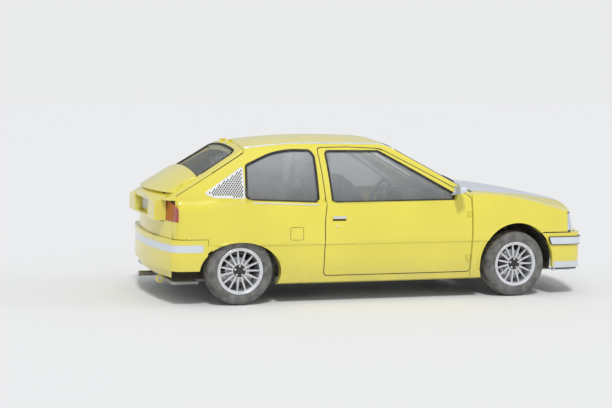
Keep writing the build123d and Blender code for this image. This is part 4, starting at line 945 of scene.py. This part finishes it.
for label, side in SIDES:
    inwards = (0, -side, 0)
    x = np.linspace(*COVE_X, 40)
    shelf, _ = from_above(skin_of("side_panel_" + label), x, side * COVE_Y, 1.0)
    rise = np.clip((COVE_X[0] - x) / COVE_RISE_RUN, 0, 1)
    foot_z = soft(shelf[:, 2], 4) + COVE_PROUD
    rise = COVE_RISE * rise**2 * (3 - 2 * rise)
    head = np.stack([cabin_side(x, COVE_SIDE_Z), COVE_HEAD_Z + rise], -1)
    foot = np.stack([np.full(40, COVE_Y), foot_z], -1)
    pull = np.stack([head[:, 0] + COVE_PULL[0], foot_z + COVE_PULL[1]], -1)
    section = bend(head[:, None], pull[:, None], foot[:, None], np.linspace(0, 1, 10)[None, :, None])
    top = points_of(x[:, None], side * section[..., 0], section[..., 1])
    patch("shoulder_cove_" + label, top, yellow_paint, 0.004)
    z = np.linspace(*TAIL_CORNER_Z, 12)[:, None]
    x = np.linspace(TAIL_CORNER[0][0], TAIL_CORNER[0][-1], 16)
    y = np.interp(x, *TAIL_CORNER) + TAIL_CORNER_PROUD + (TAIL_LEAN_Z - z) * TAIL_LEAN
    patch("tail_corner_" + label, points_of(x, side * y, z), yellow_paint, 0.004, (0.6, -0.8 * side, 0))
    for count, middle in enumerate(HINGE_HEIGHTS):
        x, z = np.meshgrid(np.linspace(*HINGE_X, 8), middle + np.linspace(-HINGE_HALF, HINGE_HALF, 8))
        top = points_of(x, side * (lower_side(x, z) - HINGE_SUNK), z)
        patch(f"hinge_plate_{label}_{count}", top, yellow_paint, 0.002, inwards)
    z = np.linspace(*REAR_END_Z, 12)
    arch = REAR_LIP_REACH * np.sqrt(1 - ((z - REAR_LIP_Z) / REAR_LIP_HEIGHT) ** 2)
    x = rows_between(REAR_END_X, np.maximum(REAR_AXLE_X - arch + 0.006, REAR_END_X + 0.0005), 8)
    top = points_of(x, side * REAR_END_Y, z[:, None])
    patch("rear_arch_end_" + label, top, yellow_paint, 0.01, inwards)
    z = np.linspace(*BUMPER_Z, 12)
    x = rows_between(FRONT_AXLE_X + np.sqrt(ARCH_RADIUS**2 - (z - ARCH_Z) ** 2), BUMPER_START_X, 6)
    top = points_of(x, side * BUMPER_SIDE_Y, z[:, None])
    patch("bumper_end_" + label, top, yellow_paint, 0.014, inwards)
    z = np.linspace(*BAND_Z, 8)
    tip = BAND_TIP_X + BAND_SLANT * (BAND_Z[1] - z) / (BAND_Z[1] - BAND_Z[0])
    x = rows_between(tip, BAND_START_X, 6)
    top = points_of(x, side * (BAND_Y + (BAND_START_X - x) * BAND_TURN), z[:, None])
    patch("band_end_" + label, top, white_paint, 0.018, inwards)
    x, z = band_rim.T
    places = points_of(x, side * (BAND_EDGE_Y + (BAND_START_X - x) * BAND_TURN), z)
    laid_bead("band_end_edge_" + label, places, (0, side, 0), black_trim, BAND_EDGE)
    wing_skin = skin_of("front_wing_" + label)
    rows = []
    for height in np.linspace(*LAMP_EDGE_Z, 10):
        places, normals = from_side(wing_skin, np.linspace(*LAMP_EDGE_X, 8), height, side)
        rows.append(places + normals * LAMP_EDGE_PROUD)
    patch("lamp_edge_" + label, rows, lamp_edge, 0.004, (-0.4, -side, 0))
    for name, line in (("top", rows[-1] + LAMP_EDGE_MARGIN), ("foot", rows[0] - LAMP_EDGE_MARGIN)):
        laid_bead(f"lamp_edge_{name}_{label}", line, (0.4, side, 0), black_trim, LAMP_EDGE_LINE)

# hubs, bolts and rim lips, as profiles of (distance outwards, radius) from the spokes' face
HUB_FACE = 0.056
HUB_PLATE = [(-0.003, 0.0545), (0.0016, 0.0535), (0.0022, 0.051), (0.0018, 0.0001)]
HUB_CAP = [(0, 0.0275), (0.006, 0.027), (0.009, 0.0245), (0.01, 0.018), (0.0085, 0.0001)]
BOLT = [(0.001, 0.0098), (0.01, 0.0092), (0.0125, 0.0074), (0.0118, 0.0001)]
BOLT_CIRCLE = 0.04
BOLT_COUNT = 5
BOLT_TURN = 0.3
RIM_LIP = [(0.0848 + 0.0028 * math.sin(a), 0.1915 + 0.0038 * math.cos(a)) for a in full_turn(12)]
for name, x, y, side in WHEELS:
    hub = (x, y + side * HUB_FACE, TYRE_RADIUS)
    body = "wheel_" + name
    grid_piece("hub_plate_" + name, turned(HUB_PLATE, side, hub, 48), hub_black, body, 30, True, False)
    grid_piece("hub_cap_" + name, turned(HUB_CAP, side, hub, 40), hub_black, body, 30, True, False)
    t = full_turn(BOLT_COUNT) + BOLT_TURN
    bolt = turned(BOLT, side, (0, 0, 0), 6).reshape(-1, 3)
    every, quads = repeated(bolt, grid_faces(6, len(BOLT), True), round_axis(hub, 0, BOLT_CIRCLE, t))
    new_piece("wheel_bolts_" + name, every, quads, bright_trim, body, 25)
    grid = turned(RIM_LIP, side, (x, y, TYRE_RADIUS), 120)
    grid_piece("rim_lip_" + name, grid, bright_trim, body, 60, True, True)

# seats: sewn pads on the shells, harnesses over them; paths are (x, z)
SEAT_Y = 0.35
BOLSTER_OFFSET = 0.212
BASE_PAD = [(0.222, 0.395), (0.1, 0.38), (-0.02, 0.365), (-0.12, 0.354)]
BACK_PAD = [(-0.196, 0.45), (-0.222, 0.52), (-0.262, 0.7), (-0.3, 0.88), (-0.321, 0.995)]
HEAD_PAD = [(-0.323, 1.004), (-0.338, 1.054)]
BASE_BOLSTER = [(0.236, 0.408), (0.2, 0.441), (0.06, 0.436), (-0.06, 0.431)]
BACK_BOLSTER = [(-0.122, 0.525), (-0.17, 0.7), (-0.19, 0.88), (-0.262, 0.96), (-0.322, 1.03)]
# each pad: path, half width, crown and number of sewn channels
SEAT_PADS = (
    ("base", BASE_PAD, 0.184, 0.03, 4),
    ("back", BACK_PAD, 0.172, 0.03, 6),
    ("head", HEAD_PAD, 0.12, 0.018, 0),
)
BOLSTER = (0.021, 0.018)
BELT_WAY = Vector((-1, 0, -0.5)).normalized()
LAP_ENDS = ((-0.135, 0.19), (-0.07, 0.01))
SHOULDER_BELT = (0.05, 0.003, 0.001)
LAP_BELT = (0.048, 0.003, 0.001)
BUCKLE = ([0.001, 0.02, 0.025, 0.027, 0.027, 0.001], [0.017, 0.017, 0.015, 0.011, -0.004, -0.004])


def seat_pad(name, path, middle, half, crown, channels=0):
    """A stuffed pad along a path of (x, z): across it the height is crown * sin(t)^0.5, its ends draw in as
    (1 - (2u - 1)^8)^0.5, and sewn channels dip it in even steps."""
    line = resampled(path, 48)
    u = np.linspace(0.002, 0.998, 48)[:, None]
    normal = quarter_turned(along(line))
    normal *= np.sign(normal.sum(1))[:, None]
    t = np.linspace(0, math.pi, 17)
    ends = np.sqrt(1 - (2 * u - 1) ** 8)
    sewn = 1 - 0.28 * np.exp(-(((np.mod(u * channels, 1) - 0.5) / 0.1) ** 2)) * (channels > 0)
    rise = crown * np.sin(t) ** 0.5 * ends * sewn
    across = -np.cos(t) * half * (0.93 + 0.07 * ends)
    rise = np.concatenate([rise, np.full((48, 2), -0.008)], axis=1)
    across = np.concatenate([across, across[:, -1:], across[:, :1]], axis=1)
    grid = points_of(line[:, :1] + normal[:, :1] * rise, middle + across, line[:, 1:] + normal[:, 1:] * rise)
    piece = grid_piece(name, grid, seat_cloth, SHELL, 60)
    return piece


for label, side in SIDES:
    middle = side * SEAT_Y
    pads = [seat_pad(f"seat_{name}_pad_{label}", path, middle, *size) for name, path, *size in SEAT_PADS]
    ways = [(label + ("_outer" if way == side else "_inner"), way) for way in (1, -1)]
    for name, way in ways:
        at = middle + way * BOLSTER_OFFSET
        seat_pad("seat_base_bolster_" + name, BASE_BOLSTER, at, *BOLSTER)
        seat_pad("seat_back_bolster_" + name, BACK_BOLSTER, at, *BOLSTER)
    seat_tree = tree_over(*(pad.data for pad in pads), nodes["bucket_seats"].data)
    for name, way in ways:
        w = np.linspace(0, 1, 48)  # from the shoulder down to the buckle
        target = points_of(-0.322 + 0.262 * w**2.2, middle + way * (0.085 - 0.07 * w), 1.000 - 0.61 * w)
        places, normals = cast(seat_tree, target - np.array(BELT_WAY) * 0.8, tuple(BELT_WAY))
        places, normals = soft(places, 8) + normals * 0.001, soft(normals, 10)
        laid_bead("shoulder_belt_" + name, places, normals, belt_webbing, SHOULDER_BELT, flat=True)
        x, y = np.linspace(*LAP_ENDS, 24).T
        places = soft(from_above(seat_tree, x, middle + way * y, 0.9)[0], 6) + (0, 0, 0.002)
        laid_bead("lap_belt_" + name, places, (0.1, 0, 1), belt_webbing, LAP_BELT, flat=True)
    hit = from_above(seat_tree, [-0.066], middle, 0.9)[0][0]
    t = full_turn(28)[:, None]
    r, rise = np.array(BUCKLE)
    grid = points_of(hit[0] + r * np.cos(t), hit[1] + r * np.sin(t), hit[2] + rise)
    grid_piece("belt_buckle_" + label, grid, bright_trim, SHELL, 40, True, False)

# wipers and blank plate
WIPER_PIVOTS = (0.42, -0.08)
WIPER_REACH = -0.44
BLADE_X, BLADE_SAG, BLADE_BEND = 0.728, 0.03, 1.2
ARM_X, ARM_LEAN, ARM_SHIFT, ARM_RISE = 0.76, 0.045, 0.02, 0.013
WIPER_BLADE = (0.01, 0.016, 0.001)
WIPER_ARM = (0.012, 0.006, 0.012)
PLATE_Z = 0.783
PLATE_STEPS = [(1.0, 0.0), (1.0, 0.0016), (0.995, 0.0022), (0.985, 0.0016), (0.5, 0.0014), (0.001, 0.0014)]
screen_skin = skin_of("windscreen", "cowl")
for index, pivot_y in enumerate(WIPER_PIVOTS):
    part = np.linspace(0, 1, 30)
    x, y = BLADE_X - BLADE_SAG * np.sin(part * BLADE_BEND), pivot_y + WIPER_REACH * part
    places, normals = from_above(screen_skin, x, y)
    laid_bead(f"wiper_blade_{index}", places, soft(normals, 10), black_trim, WIPER_BLADE)
    part = np.linspace(0, 1, 20)
    x, y = ARM_X - ARM_LEAN * part, pivot_y + ARM_SHIFT + WIPER_REACH / 2 * part
    places = from_above(screen_skin, x, y)[0] + np.array([0.3, 0, 0.95]) * ARM_RISE
    laid_bead(f"wiper_arm_{index}", places, (0.45, 0, 0.89), black_trim, WIPER_ARM)
hit = cast(skin_of("hatch"), [(-2.4, 0, PLATE_Z)], (1, 0, 0))[0][0]
y, z = rounded_rectangle(0.255, 0.052, 0.008, 0.008).T
grid = [points_of(hit[0] - rise, y * k, PLATE_Z + z * k) for k, rise in PLATE_STEPS]
grid_piece("blank_number_plate", grid, blank_plate, "hatch", 40)

# studio
floor_mesh = bpy.data.meshes.new("studio_floor")
floor_mesh.from_pydata([(-90, -90, 0), (90, -90, 0), (90, 90, 0), (-90, 90, 0)], [], [(0, 1, 2, 3)])
floor = placed("studio_floor", floor_mesh)
floor_finish, floor_tree, floor_shader = principled("floor_finish")
feed(floor_tree, floor_shader, (0.78, 0.78, 0.77, 1), 0.9)
floor_mesh.materials.append(floor_finish)

world = bpy.data.worlds.new("studio")
scene.world = world
world.use_nodes = True
studio = world.node_tree
sky = studio.nodes["Background"]
sky.inputs["Color"].default_value = (0.93, 0.95, 1.0, 1)
sky.inputs["Strength"].default_value = 0.62
backdrop = add_node(studio, "Background", Color=(0.825, 0.832, 0.838, 1), Strength=1.0)
rays = add_node(studio, "LightPath")
chosen = add_node(studio, "MixShader")
sources = (rays.outputs["Is Camera Ray"], sky.outputs[0], backdrop.outputs[0])
for socket, source in zip(chosen.inputs, sources):
    put(studio, socket, source)
put(studio, studio.nodes["World Output"].inputs[0], chosen.outputs[0])


def sun(name, energy, direction, angle_deg):
    """A sun lamp shining along a direction."""
    lamp = bpy.data.lights.new(name, "SUN")
    lamp.energy = energy
    lamp.angle = math.radians(angle_deg)
    placed(name, lamp).rotation_euler = Vector(direction).to_track_quat("-Z", "Y").to_euler()


sun("key_light", 1.75, (0.2, 0.7, -1.0), 10)
sun("fill_light", 0.35, (-0.8, 0.2, -0.4), 25)


# camera
def camera_matrix(place, yaw_deg, pitch_deg, roll_deg):
    """Looks along +Y turned by yaw towards +X, down by pitch, rolled about its own line of sight."""
    yaw, pitch, roll = (math.radians(v) for v in (yaw_deg, pitch_deg, roll_deg))
    ahead = Vector((math.sin(yaw) * math.cos(pitch), math.cos(yaw) * math.cos(pitch), -math.sin(pitch)))
    right = Vector((math.cos(yaw), -math.sin(yaw), 0))
    up = right.cross(ahead)
    right, up = right * math.cos(roll) + up * math.sin(roll), up * math.cos(roll) - right * math.sin(roll)
    turned_axes = Matrix((right, up, -ahead)).transposed().to_4x4()
    return Matrix.Translation(place) @ turned_axes


FOCAL_PIXELS = 1392.0
PICTURE_WIDTH = 612
SENSOR_WIDTH = 36.0
camera_data = bpy.data.cameras.new("camera")
camera_data.sensor_width = SENSOR_WIDTH
camera_data.lens = SENSOR_WIDTH * FOCAL_PIXELS / PICTURE_WIDTH
camera = placed("camera", camera_data)
camera.matrix_world = camera_matrix((-4.349, -11.836, 1.909), 18.0, 5.24, 1.024)
scene.camera = camera
scene.view_settings.view_transform = "Standard"
